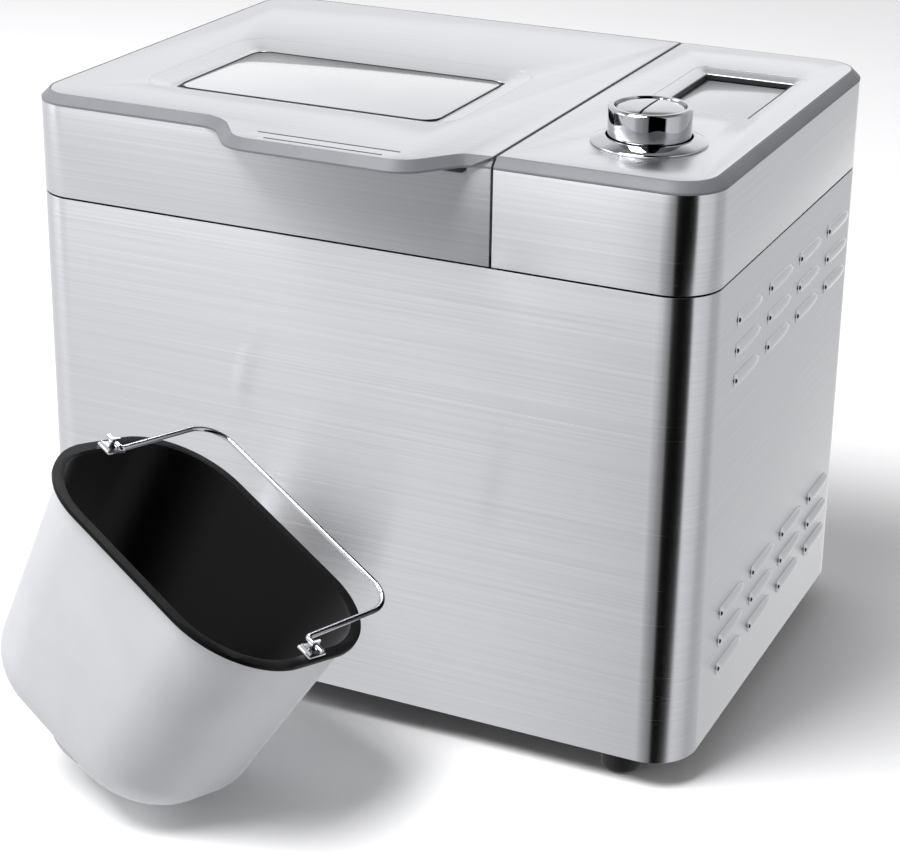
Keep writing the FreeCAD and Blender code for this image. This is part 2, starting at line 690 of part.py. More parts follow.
# ---------------------------------------------------------------- drive train
def drive():
    """Socket, coupling, shaft and big pulley under the chamber, and the bracket that carries them."""
    x, y = "chamberX", "chamberY"
    plate = block("bracketPlate", "chamberX - 45", "motorX + 42", "chamberY - 45", "motorY + 45",
                  bracketZ, f"{bracketZ} + 1.5")
    holes = [rod("bracketShaftHole", x, y, f"{bracketZ} - 5", 8.2, 20),
             rod("bracketMotorHole", "motorX", "motorY", f"{bracketZ} - 5", 12, 20)]
    spots = [("chamberX - 38", "chamberY - 38"), ("chamberX - 38", "motorY + 38"),
             ("motorX + 37", "chamberY - 38"), ("motorX + 37", "motorY + 38")]
    legs = [rod(f"bracketLeg{i}", px, py, "footHeight + wall", 4, f"{bracketZ} - footHeight - wall")
            for i, (px, py) in enumerate(spots)]
    keep("drive_bracket", cut("driveBracket", fuse("bracketBlank", [plate] + legs), holes))

    bush = newBody("bush")
    profile = sketch(bush, "XZ", x=x, z=f"-{y}")
    bore = "shaftRadius + running"
    polygon(profile, [(bore, f"{bracketZ} - 2"), ("8", f"{bracketZ} - 2"), ("8", f"{bracketZ} + 1.5"),
                      ("13", f"{bracketZ} + 1.5"), ("13", "chamberFloor - sheet - 0.5"),
                      ("9", "chamberFloor - sheet - 0.5"), ("9", "chamberFloor + 2"),
                      (bore, "chamberFloor + 2")])
    revolve(profile)
    keep("shaft_bush", bush)

    socket = newBody("socket")
    profile = sketch(socket, "XZ", x=x, z=f"-{y}")
    inner, outer = "collarRadius + 1.2", "collarRadius + 4.2"
    polygon(profile, [("9.3", "chamberFloor"), (f"{outer} + 7", "chamberFloor"),
                      (f"{outer} + 7", "chamberFloor + 2"), (outer, "chamberFloor + 2"),
                      (outer, "chamberFloor + 11"), (inner, "chamberFloor + 11"),
                      (inner, "chamberFloor + 2"), ("9.3", "chamberFloor + 2")])
    revolve(profile)
    notches = sketch(socket, z="chamberFloor + 12")
    rectangle(notches, f"{x} - {outer} - 2", f"{x} - 20", f"{y} - 6", f"{y} + 6")
    rectangle(notches, f"{x} + 20", f"{x} + {outer} + 2", f"{y} - 6", f"{y} + 6")
    pocket(notches, "10")
    screws = [socket]
    for i, (sx, sy) in enumerate(((-1, -1), (1, -1), (1, 1), (-1, 1))):
        at = (f"{x} + {sx}*(collarRadius + 8)*0.7071", f"{y} + {sy}*(collarRadius + 8)*0.7071")
        screws.append(rod(f"socketScrew{i}", *at, "chamberFloor + 2", 2.4, 1.6))
    keep("pan_socket", fuse("panSocket", screws))

    keep("drive_shaft", rod("driveShaft", x, y, "beltZ - 4", "shaftRadius", "chamberFloor + 9 - beltZ + 4"))
    hub = rod("couplerHub", x, y, "chamberFloor + 2.6", 9, 7)
    wing = block("couplerWing", f"{x} - 17", f"{x} + 17", f"{y} - 2.5", f"{y} + 2.5",
                 "chamberFloor + 2.6", "chamberFloor + 9.6")
    bore = rod("couplerBore", x, y, "chamberFloor", "shaftRadius", 9)
    keep("drive_coupler", cut("driveCoupler", fuse("couplerBlank", [hub, wing]), [bore]))
    keep("drive_pulley", pulley("bigWheel", x, y, "bigPulley", 60, "shaftRadius", spokes=True))


def pulley(name, x, y, radius, teeth, bore, spokes=False):
    """A toothed belt wheel with two side flanges, turning about Z."""
    body = newBody(name)
    r = f"{radius} - beltThick/2"
    profile = sketch(body, "XZ", x=x, z=f"-({y})")
    corners = [(bore, "beltZ - 2"), (f"{r} + 2.2", "beltZ - 2"), (f"{r} + 2.2", "beltZ - 0.6"),
               (r, "beltZ - 0.6"), (r, f"{beltTop} + 0.6"), (f"{r} + 2.2", f"{beltTop} + 0.6"),
               (f"{r} + 2.2", f"{beltTop} + 2"), (bore, f"{beltTop} + 2")]
    polygon(profile, corners)
    wheel = revolve(profile)
    if spokes:
        holes = sketch(body, z=f"{beltTop} + 3")
        for i in range(5):
            angle = math.radians(72 * i)
            reach = number(r) * 0.58
            circle(holes, f"{x} + {reach * math.cos(angle):.3f}", f"{y} + {reach * math.sin(angle):.3f}",
                   f"{radius}*0.2")
        pocket(holes, "30")
    groove = rectangle(sketch(body, z=f"{beltTop} + 0.6"), f"{x} + {r} - 0.5", f"{x} + {r} + 3",
                       f"{y} - 0.45", f"{y} + 0.45")
    notch = pocket(groove, "beltTall + 1.2")
    ring = body.newObject("PartDesign::PolarPattern", name + "Teeth")
    ring.Originals = [notch]
    ring.Axis = (wheel.Profile[0], ["V_Axis"])
    ring.Angle = 360
    ring.Occurrences = teeth
    body.Tip = ring
    doc.recompute()
    return body


def motor():
    """Motor on the bracket: can with end cap, shaft, small pulley, rubber mounts and the belt."""
    x, y = "motorX", "motorY"
    can = newBody("motorCan")
    profile = sketch(can, "XZ", x=x, z=f"-{y}")
    polygon(profile, [("shaftRadius + running", f"{motorFoot} + 5"), ("10", f"{motorFoot} + 5"),
                      ("10", f"{motorFoot} + 8"), ("motorRadius - 3", f"{motorFoot} + 8"),
                      ("motorRadius", f"{motorFoot} + 11"),
                      ("motorRadius", f"{motorFoot} + motorTall - 4"),
                      ("motorRadius - 4", f"{motorFoot} + motorTall"),
                      ("9", f"{motorFoot} + motorTall"), ("9", f"{motorFoot} + motorTall + 4"),
                      ("shaftRadius + running", f"{motorFoot} + motorTall + 4")])
    revolve(profile)
    keep("motor_can", can)
    mounts = []
    for i in range(4):
        angle = math.radians(45 + 90 * i)
        at = (f"{x} + (motorRadius - 9)*{math.cos(angle):.4f}",
              f"{y} + (motorRadius - 9)*{math.sin(angle):.4f}")
        mounts.append(rod(f"mount{i}", *at, motorFoot, 6, 8))
    keep("motor_mounts", group("motorMounts", mounts))
    reach = f"{motorFoot} + motorTall + 8 - beltZ"
    keep("motor_shaft", rod("motorShaft", x, y, "beltZ - 4", "shaftRadius", reach))
    keep("motor_pulley", pulley("smallWheel", x, y, "smallPulley", 14, "shaftRadius"))
    belt = doc.addObject("Part::Feature", "belt")
    belt.Shape = beltLoop()
    keep("drive_belt", belt)


def beltLoop():
    """The flat loop that wraps both pulleys: outer outline less inner outline."""
    big = Vector(number("chamberX"), number("chamberY"), 0)
    small = Vector(number("motorX"), number("motorY"), 0)
    span = small - big
    lean = math.acos((number("bigPulley") - number("smallPulley")) / span.Length)
    heading = math.atan2(span.y, span.x)

    def outline(grow):
        radii = (number("bigPulley") + grow, number("smallPulley") + grow)
        at = {}
        for centre, radius, key in ((big, radii[0], "big"), (small, radii[1], "small")):
            for side in (1, -1):
                angle = heading + side * lean
                at[key, side] = centre + Vector(math.cos(angle), math.sin(angle), 0) * radius
        far = big - Vector(math.cos(heading), math.sin(heading), 0) * radii[0]
        near = small + Vector(math.cos(heading), math.sin(heading), 0) * radii[1]
        return Part.Face(Part.Wire([
            Part.Arc(at["big", 1], far, at["big", -1]).toShape(),
            Part.LineSegment(at["big", -1], at["small", -1]).toShape(),
            Part.Arc(at["small", -1], near, at["small", 1]).toShape(),
            Part.LineSegment(at["small", 1], at["big", 1]).toShape(),
        ]))

    half = number("beltThick") / 2
    loop = outline(half + 0.05).cut(outline(-half + 0.1))
    loop.translate(Vector(0, 0, number("beltZ")))
    return loop.extrude(Vector(0, 0, number("beltTall")))


def electrics():
    """Mains board with its parts on the right wall, and the shield beside the chamber."""
    x = f"({right} - sheet - 12)"
    board = block("mainsBoardPlate", f"{x} - 1.6", x, "-70", "30", "130", "210")
    parts = [board]
    for i, (y, z, dy, dz, tall) in enumerate(((-60, 140, 20, 26, 16), (-30, 145, 16, 16, 14),
                                              (0, 150, 22, 18, 20), (-55, 180, 30, 20, 9),
                                              (-10, 185, 28, 14, 11))):
        parts.append(block(f"mainsPart{i}", f"{x} - 1.6 - {tall}", f"{x} - 1.6", y, y + dy, z, z + dz))
    for i, (y, z) in enumerate(((-65, 135), (25, 135), (-65, 205), (25, 205))):
        parts.append(rod(f"mainsPost{i}", x, y, z, 2.5, "12", "X"))
    keep("mains_board", fuse("mainsBoard", parts))
    shield = f"({chamberRight} + 22)"
    wallPlate = block("shieldWall", shield, f"{shield} + sheet", "chamberY - 90", "chamberY + 90",
                      f"{motorFoot} + 4", f"{deckTop} - 4")
    lug = block("shieldLug", f"{shield} - 10", shield, "chamberY - 90", "chamberY + 90",
                f"{deckTop} - 4 - sheet", f"{deckTop} - 4")
    keep("heat_shield", fuse("heatShield", [wallPlate, lug]))


# ---------------------------------------------------------------- control turret
def capBlock(body, z, x0, x1, inset, height):
    """Pads a block between x0 and x1 over the casing's depth, drawn in by inset but not at the split."""
    margin = f"({inset})"
    drawn = capRectangle(sketch(body, z=z), x0, x1, f"{front} + {margin}", f"{back} - {margin}",
                         f"cornerRadius - {margin}")
    return pad(drawn, height)


def turretSkirt():
    """Steel band round three sides of the turret."""
    body = newBody("turret")
    z = "seamHeight + seamGap"
    capBlock(body, z, turretEdge, right, "0", "capHeight - seamGap")
    inner = sketch(body, z=capTop)
    roundedRectangle(inner, f"{turretEdge} - 60", f"{right} - sheet", f"{front} + sheet",
                     f"{back} - sheet", "cornerRadius - sheet")
    pocket(inner, "capHeight")
    keep("turret_skirt", body)


def turretFrame():
    """Grey sloped trim of the turret with the housing wall that faces the lid."""
    body = newBody("turretTrim")
    ring = capBlock(body, capTop, turretEdge, right, "0", "trimHeight")
    dress(ring, "trimInset", slopedEdges(turretEdge), "Chamfer")
    plateSeat(body, f"{turretEdge} + snug", f"{right} - trimInset - snug", "1.5")
    plateSeat(body, f"{turretEdge} + 6", f"{right} - trimWidth", "trimHeight", "trimWidth")
    inner = rectangle(sketch(body, z=f"{deckTop}"), turretEdge, f"{turretEdge} + wall",
                      f"{front} + sheet + snug", f"{back} - sheet - snug")
    pad(inner, f"{capTop} - {deckTop} + 0.5")
    keep("turret_frame", body)


def slopedEdges(split):
    """The outer top edges of a trim block, all but the one along the split."""
    edge = number(split)

    def wanted(candidate):
        bounds = candidate.BoundBox
        along = abs(bounds.XMin - edge) + abs(bounds.XMax - edge) < 1e-3
        return level(plateTop)(candidate) and not along

    return wanted


def plateSeat(body, x0, x1, depth, margin="(trimInset + snug)"):
    """Sinks the outline of a top plate into the trim."""
    drawn = capRectangle(sketch(body, z=plateTop), x0, x1, f"{front} + {margin}", f"{back} - {margin}",
                         f"cornerRadius - {margin}")
    return pocket(drawn, depth)


def screenEdges(grow="0"):
    """The four sides of the display opening, grown all round."""
    return (f"screenX - screenWide/2 - ({grow})", f"screenX + screenWide/2 + ({grow})",
            f"screenY - screenLong/2 - ({grow})", f"screenY + screenLong/2 + ({grow})")


def controls():
    """Turret top plate, display, dial seat, encoder and the boards beneath them."""
    body = newBody("controlSheet")
    capBlock(body, f"{plateTop} - 1.5", f"{turretEdge} + 2*snug", f"{right} - trimInset - 2*snug",
             "trimInset + 2*snug", "1.5")
    hole = sketch(body, z=f"{plateTop} + 1")
    roundedRectangle(hole, *screenEdges("snug"), "4")
    circle(hole, "dialX", "dialY", "bezelRadius - 4")
    pocket(hole, "5")
    keep("control_plate", body)

    bezel = newBody("screenBezel")
    outline = roundedRectangle(sketch(bezel, z=f"{plateTop} - 5.4"), *screenEdges(), "3.7")
    pad(outline, "5.4")
    mouth = roundedRectangle(sketch(bezel, z=plateTop), *screenEdges("-0.6"), "3.2")
    floor = roundedRectangle(sketch(bezel, z=f"{plateTop} - screenSink"),
                             *screenEdges("-screenSlope*0.5"), "2.4")
    loft(mouth, floor, cut=True)
    window = roundedRectangle(sketch(bezel, z=plateTop), *screenEdges("-screenSlope*0.5 - 1.5"), "2")
    pocket(window, "12")
    flange = sketch(bezel, z=f"{plateTop} - 5.4")
    roundedRectangle(flange, *screenEdges("3"), "6")
    roundedRectangle(flange, *screenEdges("-screenSlope*0.5 - 1.5"), "2")
    pad(flange, "3.4")
    keep("screen_bezel", bezel)

    pane = newBody("screenPane")
    pad(roundedRectangle(sketch(pane, z=f"{plateTop} - 7.2"), *screenEdges("-1"), "2"), "1.8")
    keep("screen_window", pane)
    lcd = newBody("lcd")
    pad(roundedRectangle(sketch(lcd, z=f"{plateTop} - 11.5"), *screenEdges("-4"), "1.5"), "4")
    keep("display_module", lcd)

    board = newBody("controlCard")
    plate = sketch(board, z=f"{plateTop} - 30")
    rectangle(plate, f"{turretEdge} + 10", f"{right} - 14", "-95", "80")
    for x in (f"{turretEdge} + 15", f"{right} - 19"):
        for y in ("-88", "74"):
            circle(plate, x, y, "1.7")
    pad(plate, "1.6")
    parts = sketch(board, z=f"{plateTop} - 28.6")
    for i in range(3):
        rectangle(parts, "90", "104", f"-10 + {i}*24", f"4 + {i}*24")
        rectangle(parts, "120", "140", f"-12 + {i}*24", f"{i}*24")
    pad(parts, "4")
    posts = []
    for i, (x, y) in enumerate(((f"{turretEdge} + 15", "-88"), (f"{turretEdge} + 15", "74"),
                                (f"{right} - 19", "-88"), (f"{right} - 19", "74"))):
        posts.append(rod(f"cardPost{i}", x, y, f"{deckTop}", 4, f"{plateTop} - 30 - {deckTop}"))
        posts.append(rod(f"cardScrew{i}", x, y, f"{plateTop} - 28.4", 2.8, 2))
    keep("board_posts", group("boardPosts", posts))

    ring = newBody("dialBezel")
    profile = sketch(ring, "XZ", x="dialX", z="-(dialY)")
    inner = "dialRadius + 0.8"
    polygon(profile, [(inner, f"{plateTop} - 3"), ("bezelRadius - 4.3", f"{plateTop} - 3"),
                      ("bezelRadius - 4.3", plateTop), ("bezelRadius", plateTop),
                      ("bezelRadius - 0.3", f"{plateTop} + 0.7"),
                      (f"{inner} + 1", f"{plateTop} + bezelRise"), (inner, f"{plateTop} + bezelRise")])
    revolve(profile)
    keep("dial_bezel", ring)

    knob = newBody("dialRing")
    profile = sketch(knob, "XZ", x="dialX", z="-(dialY)")
    top = f"{plateTop} + dialHeight"
    polygon(profile, [("dialRadius - dialWall", f"{plateTop} - 6"), ("dialRadius", f"{plateTop} - 6"),
                      ("dialRadius", f"{top} - 1.2"), ("dialRadius - 1.2", top),
                      ("dialRadius - dialWall", top)])
    revolve(profile)
    keep("dial_ring", knob)

    hollow = "(dialRadius - dialWall - dialPlay)"
    core = rod("coreBarrel", "dialX", "dialY", f"{plateTop} - 12", hollow, "dialHeight + 5.4")
    seat = rod("coreFlange", "dialX", "dialY", f"{plateTop} - 12", "dialRadius + 3", "5.6")
    legs = [rod(f"coreLeg{i}", f"dialX + {17 * math.cos(a):.3f}", f"dialY + {17 * math.sin(a):.3f}",
                f"{plateTop} - 28.4", 2.2, 17) for i, a in enumerate((0.6, 2.6, 4.7))]
    bores = [rod(f"coreBore{s}", f"dialX + {s}*9", "dialY", f"{plateTop} - 40", "3.3", 80) for s in (-1, 1)]
    keep("dial_core", cut("dialCore", fuse("coreBlank", [core, seat] + legs), bores))
    for s, label in ((-1, "power_button"), (1, "start_button")):
        moon = newBody(label + "Cap")
        profile = sketch(moon, "XZ", x="dialX", z="-(dialY)")
        polygon(profile, [("0", f"{top} - 5.3"), (hollow, f"{top} - 5.3"), (hollow, f"{top} - 1.4"),
                          (f"{hollow} - 4", f"{top} - 0.2"), ("0", f"{top} + 0.6")])
        revolve(profile)
        half = sketch(moon, z=f"{top} + 5")
        edges = ("dialX - 40", "dialX + buttonSlot/2") if s > 0 else ("dialX - buttonSlot/2", "dialX + 40")
        rectangle(half, *edges, "dialY - 40", "dialY + 40")
        pocket(half, "20")
        stem = circle(sketch(moon, z=f"{plateTop} - 22"), f"dialX + {s}*9", "dialY", "3.2")
        pad(stem, "dialHeight + 17")
        keep(label, moon)
    switches = [board]
    for s in (-1, 1):
        switches.append(block(f"switch{s}", f"dialX + {s}*9 - 3.5", f"dialX + {s}*9 + 3.5", "dialY - 3.5",
                              "dialY + 3.5", f"{plateTop} - 28.4", f"{plateTop} - 23.2"))
    keep("control_board", fuse("boardWithSwitches", switches))


# ---------------------------------------------------------------- lid
def tongueCorners(inset):
    """X of the tongue's root and front corners, left then right, and Y of both, drawn in by inset."""
    root = f"(tongueRoot - {tongueDraw}*{inset})"
    tip = f"(tongueHalf - {tongueDraw}*{inset})"
    roots = (f"(tongueX - {root})", f"(tongueX + {root})")
    tips = (f"(tongueX - {tip})", f"(tongueX + {tip})")
    return roots, tips, f"({front} + {inset})", f"({front} - tongueReach + {inset})"


def tongueBlock(body, z):
    """The whole tongue, rounded at its front corners and filled out at the hollow ones."""
    roots, tips, line, reach = tongueCorners("0")
    slab = pad(polygon(sketch(body, z=z), [
        (roots[0], f"{line} + 1"), (roots[0], line), (tips[0], reach),
        (tips[1], reach), (roots[1], line), (roots[1], f"{line} + 1")]), "trimHeight")
    slab = dress(slab, "tongueRound", upright((tips[0], reach), (tips[1], reach)))
    return dress(slab, "tongueHollow", upright((roots[0], line), (roots[1], line)))


def tongueSheet(body, z, inset):
    """Sketches the tongue's outline drawn in by inset, with its front corners cut across."""
    roots, tips, line, reach = tongueCorners(inset)
    cutBack = f"{tongueDraw}*(tongueRound - {inset})"
    over = f"{cutBack}*{tongueRun}/{tongueSlant}"
    up = f"{reach} + {cutBack}*tongueReach/{tongueSlant}"
    return polygon(sketch(body, z=z), [
        (roots[0], f"{line} + 1.5"), (roots[0], line), (f"{tips[0]} - {over}", up),
        (f"{tips[0]} + {cutBack}", reach),
        (f"{tips[1]} - {cutBack}", reach), (f"{tips[1]} + {over}", up), (roots[1], line),
        (roots[1], f"{line} + 1.5")])


def lidShell():
    """Steel band round three sides of the lid, open at the front where the tongue reaches out."""
    body = newBody("lidBand")
    capBlock(body, "seamHeight + seamGap", left, lidEdge, "0", "capHeight - seamGap")
    inner = sketch(body, z=capTop)
    roundedRectangle(inner, f"{left} + sheet", f"{lidEdge} + 60", f"{front} + sheet", f"{back} - sheet",
                     "cornerRadius - sheet")
    pocket(inner, "capHeight")
    keep("lid_skirt", body)

    trim = newBody("lidTrim")
    capBlock(trim, capTop, left, lidEdge, "0", "trimHeight")
    dress(tongueBlock(trim, capTop), "trimInset", slopedEdges(lidEdge), "Chamfer")
    plateSeat(trim, f"{left} + trimInset + snug", f"{lidEdge} - snug", "1.5")
    pocket(tongueSheet(trim, plateTop, "(trimInset + snug)"), "1.5")
    plateSeat(trim, f"{left} + trimWidth", f"{lidEdge} - 6", "trimHeight", "trimWidth")
    inner = rectangle(sketch(trim, z="seamHeight + seamGap + 4"), f"{lidEdge} - wall", lidEdge,
                      f"{front} + sheet + snug", f"{back} - sheet - snug")
    pad(inner, "capHeight - seamGap - 3.5")
    keep("lid_frame", trim)


def windowEdges(grow="0"):
    """The four sides of the glass, grown all round."""
    return (f"chamberX - windowLong/2 - ({grow})", f"chamberX + windowLong/2 + ({grow})",
            f"windowY - windowWide/2 - ({grow})", f"windowY + windowWide/2 + ({grow})")


def lidPlates():
    """Top plate with a dished window opening, the glass, its frame and the pressed liner below."""
    body = newBody("lidSheet")
    capBlock(body, f"{plateTop} - 1.5", f"{left} + trimInset + 2*snug", f"{lidEdge} - 2*snug",
             "trimInset + 2*snug", "1.5")
    pad(tongueSheet(body, f"{plateTop} - 1.5", "(trimInset + 2*snug)"), "1.5")
    grooves = sketch(body, z=plateTop)
    for x0, x1, setBack in (("-38", "32", "16.2"), ("-31", "27", "8.7")):
        y = f"{front} - tongueReach + {setBack}"
        rectangle(grooves, x0, x1, y, f"{y} + grooveWide")
    pocket(grooves, "0.5")
    dish = roundedRectangle(sketch(body, z=f"{plateTop} - 4.9"), *windowEdges("windowSlope + 3"),
                            "windowCorner + 9")
    pad(dish, "4.4")
    mouth = roundedRectangle(sketch(body, z=plateTop), *windowEdges("windowSlope"), "windowCorner + 6")
    floor = roundedRectangle(sketch(body, z=f"{plateTop} - windowSink"), *windowEdges("0.5"),
                             "windowCorner + 0.5")
    loft(mouth, floor, cut=True)
    hole = roundedRectangle(sketch(body, z=plateTop), *windowEdges("0.3"), "windowCorner + 0.3")
    pocket(hole, "12")
    keep("lid_plate", body)

    outer = newBody("windowPane")
    pad(roundedRectangle(sketch(outer, z=f"{plateTop} - windowSink - glass"), *windowEdges(),
                         "windowCorner"), "glass")
    keep("window_pane", outer)

    holder = newBody("windowHolder")
    base = f"{plateTop} - 30"
    pad(roundedRectangle(sketch(holder, z=base), *windowEdges("5"), "windowCorner + 5"), "25")
    well = roundedRectangle(sketch(holder, z=f"{plateTop} - 5"), *windowEdges("0.3"), "windowCorner + 0.3")
    pocket(well, "1.4")
    seat = roundedRectangle(sketch(holder, z=f"{plateTop} - 5"), *windowEdges("-4"), "windowCorner - 4")
    pocket(seat, "40")
    keep("window_frame", holder)
    lower = newBody("innerPane")
    pad(roundedRectangle(sketch(lower, z=f"{plateTop} - 33.2"), *windowEdges("3"), "windowCorner + 3"), "3")
    keep("window_inner", lower)

    liner = newBody("lidLiner")
    low = "(seamHeight + 5)"
    edges = (f"{left} + sheet + 2", f"{lidEdge} - wall - 2", f"{front} + sheet + 2", f"{back} - sheet - 2")
    pad(roundedRectangle(sketch(liner, z=low), *edges, "cornerRadius - 3"), "10")
    cavity = roundedRectangle(sketch(liner, z=f"{low} + 10"), f"{edges[0]} + sheet", f"{edges[1]} - sheet",
                              f"{edges[2]} + sheet", f"{edges[3]} - sheet", "cornerRadius - 4")
    pocket(cavity, "10 - sheet")
    dome = roundedRectangle(sketch(liner, z=f"{low} + sheet"), *windowEdges("9"), "windowCorner + 9")
    pad(dome, f"{plateTop} - 33.2 - {low} - sheet - 0.4")
    hollow = roundedRectangle(sketch(liner, z=low), *windowEdges("8.2"), "windowCorner + 8.2")
    pocket(hollow, f"{plateTop} - 33.2 - {low} - 0.4 - sheet", reverse=True)
    view = roundedRectangle(sketch(liner, z=plateTop), *windowEdges("-3"), "windowCorner - 3")
    pocket(view, "100")
    keep("lid_liner", liner)

    seal = newBody("lidSeal")
    ring = sketch(seal, z="seamHeight + 1.4")
    for grow in ("11", "16"):
        roundedRectangle(ring, f"{chamberLeft} - {grow}", f"{chamberRight} + {grow}",
                         f"{chamberFront} - {grow}", f"{chamberBack} + {grow}", f"chamberCorner + {grow}")
    pad(ring, "3.6")
    keep("lid_seal", seal)


def hinges():
    """Two rear hinges: straps on the body, straps on the lid and a pin through each pair."""
    fixed, moving, pins = [], [], []
    for i, x in enumerate(("(chamberX - 75)", "(chamberX + 75)")):
        low = block(f"bodyStrap{i}", f"{x} - 16", f"{x} + 16", back, f"{back} + 1.4", "seamHeight - 22",
                    "seamHeight - 6")
        rise = block(f"bodyRise{i}", f"{x} - 5.7", f"{x} + 5.7", back, f"{back} + 1.4", "seamHeight - 7",
                     hingeZ)
        arm = block(f"bodyArm{i}", f"{x} - 5.7", f"{x} + 5.7", back, hingeY, f"{hingeZ} - knuckle",
                    f"{hingeZ} - knuckle + 1.6")
        knuckle = rod(f"bodyKnuckle{i}", f"{x} - 5.7", hingeY, hingeZ, "knuckle", 11.4, "X")
        bore = rod(f"bodyBore{i}", f"{x} - 20", hingeY, hingeZ, "pinRadius + running", 40, "X")
        heads = [rod(f"bodyRivet{i}{s}", f"{x} + {s}*11", back, "seamHeight - 15", 2.2, 2.4, "Y")
                 for s in (-1, 1)]
        blank = fuse(f"bodyHingeBlank{i}", [low, rise, arm, knuckle] + heads)
        fixed.append(cut(f"bodyHinge{i}", blank, [bore]))
        leaf = block(f"lidStrap{i}", f"{x} - 16", f"{x} + 16", back, f"{back} + 1.4", "seamHeight + 7",
                     "seamHeight + 22")
        parts = [leaf]
        for s in (-1, 1):
            x0 = f"{x} + {6 if s > 0 else -14}"
            x1 = f"{x} + {14 if s > 0 else -6}"
            parts.append(block(f"lidRise{i}{s}", x0, x1, back, f"{back} + 1.4", hingeZ, "seamHeight + 8"))
            parts.append(block(f"lidArm{i}{s}", x0, x1, back, hingeY, f"{hingeZ} + knuckle - 1.6",
                               f"{hingeZ} + knuckle"))
            parts.append(rod(f"lidKnuckle{i}{s}", x0, hingeY, hingeZ, "knuckle", 8, "X"))
            parts.append(rod(f"lidRivet{i}{s}", f"{x} + {s}*11", back, "seamHeight + 15", 2.2, 2.4, "Y"))
        bore = rod(f"lidBore{i}", f"{x} - 20", hingeY, hingeZ, "pinRadius", 40, "X")
        moving.append(cut(f"lidHinge{i}", fuse(f"lidHingeBlank{i}", parts), [bore]))
        pins.append(rod(f"hingePin{i}", f"{x} - 14.5", hingeY, hingeZ, "pinRadius", 29, "X"))
    keep("hinge_brackets", group("hingeBrackets", fixed))
    keep("hinge_leaves", group("hingeLeaves", moving))
    keep("hinge_pins", group("hingePins", pins))


# ---------------------------------------------------------------- pan, bail and paddle
def panEdges(plane, grow="0", scaleX="1", scaleY="1", corner="panCorner"):
    """Draws the pan's outline, scaled for the taper and grown all round."""
    halfX, halfY = f"(panLong/2*{scaleX} + ({grow}))", f"(panWide/2*{scaleY} + ({grow}))"
    return roundedRectangle(plane, f"-{halfX}", halfX, f"-{halfY}", halfY, f"{corner} + ({grow})")


def panBin():
    """Tapered cast pan with a rolled rim that widens into an ear at each end."""
    body = newBody("panBin")
    mouth = panEdges(sketch(body))
    foot = panEdges(sketch(body, z="-panTall"), "0", "panTaperX", "panTaperY", "panCorner*0.86")
    loft(mouth, foot)
    skin = dress(body.Tip, "panFillet", level("-panTall"))
    rim = newBody("panHollow")
    body.Tip = skin
    inner = panEdges(sketch(rim, z="0"), "-panWall")
    innerFoot = panEdges(sketch(rim, z="-panTall + panWall"), "-panWall", "panTaperX", "panTaperY",
                         "panCorner*0.86")
    loft(inner, innerFoot)
    dress(rim.Tip, "panFillet - panWall", level("-panTall + panWall"))
    lip = newBody("panLip")
    outline = panEdges(sketch(lip, z="-flangeThick"), "flange")
    pad(outline, "flangeThick")
    ears = sketch(lip, z="-flangeThick")
    reach = "(panLong/2 + flange + 1.2)"
    polygon(ears, [(f"-{reach}", "-earHalf"), ("-panLong/2 + 14", "-panWide/2 + 3"),
                   ("panLong/2 - 14", "-panWide/2 + 3"), (reach, "-earHalf"), (reach, "earHalf"),
                   ("panLong/2 - 14", "panWide/2 - 3"), ("-panLong/2 + 14", "panWide/2 - 3"),
                   (f"-{reach}", "earHalf")])
    pad(ears, "flangeThick")
    whole = fuse("panWhole", [body, lip])
    shaftHole = rod("panShaftHole", 0, 0, "-panTall - 20", "7.5", 60)
    panPart("pan_shell", cut("panShell", whole, [rim, shaftHole]))


PAN_TURN = FreeCAD.Rotation(PAN_LONG_AXIS, Vector(0, 0, 0), PAN_UP_AXIS, "ZXY")
PAN_PLACE = FreeCAD.Placement(PAN_CENTRE, PAN_TURN)


def panPart(label, obj):
    """Keeps a part that was drawn in the pan's frame and moves it to where the pan stands."""
    obj.Placement = PAN_PLACE
    return keep(label, obj)


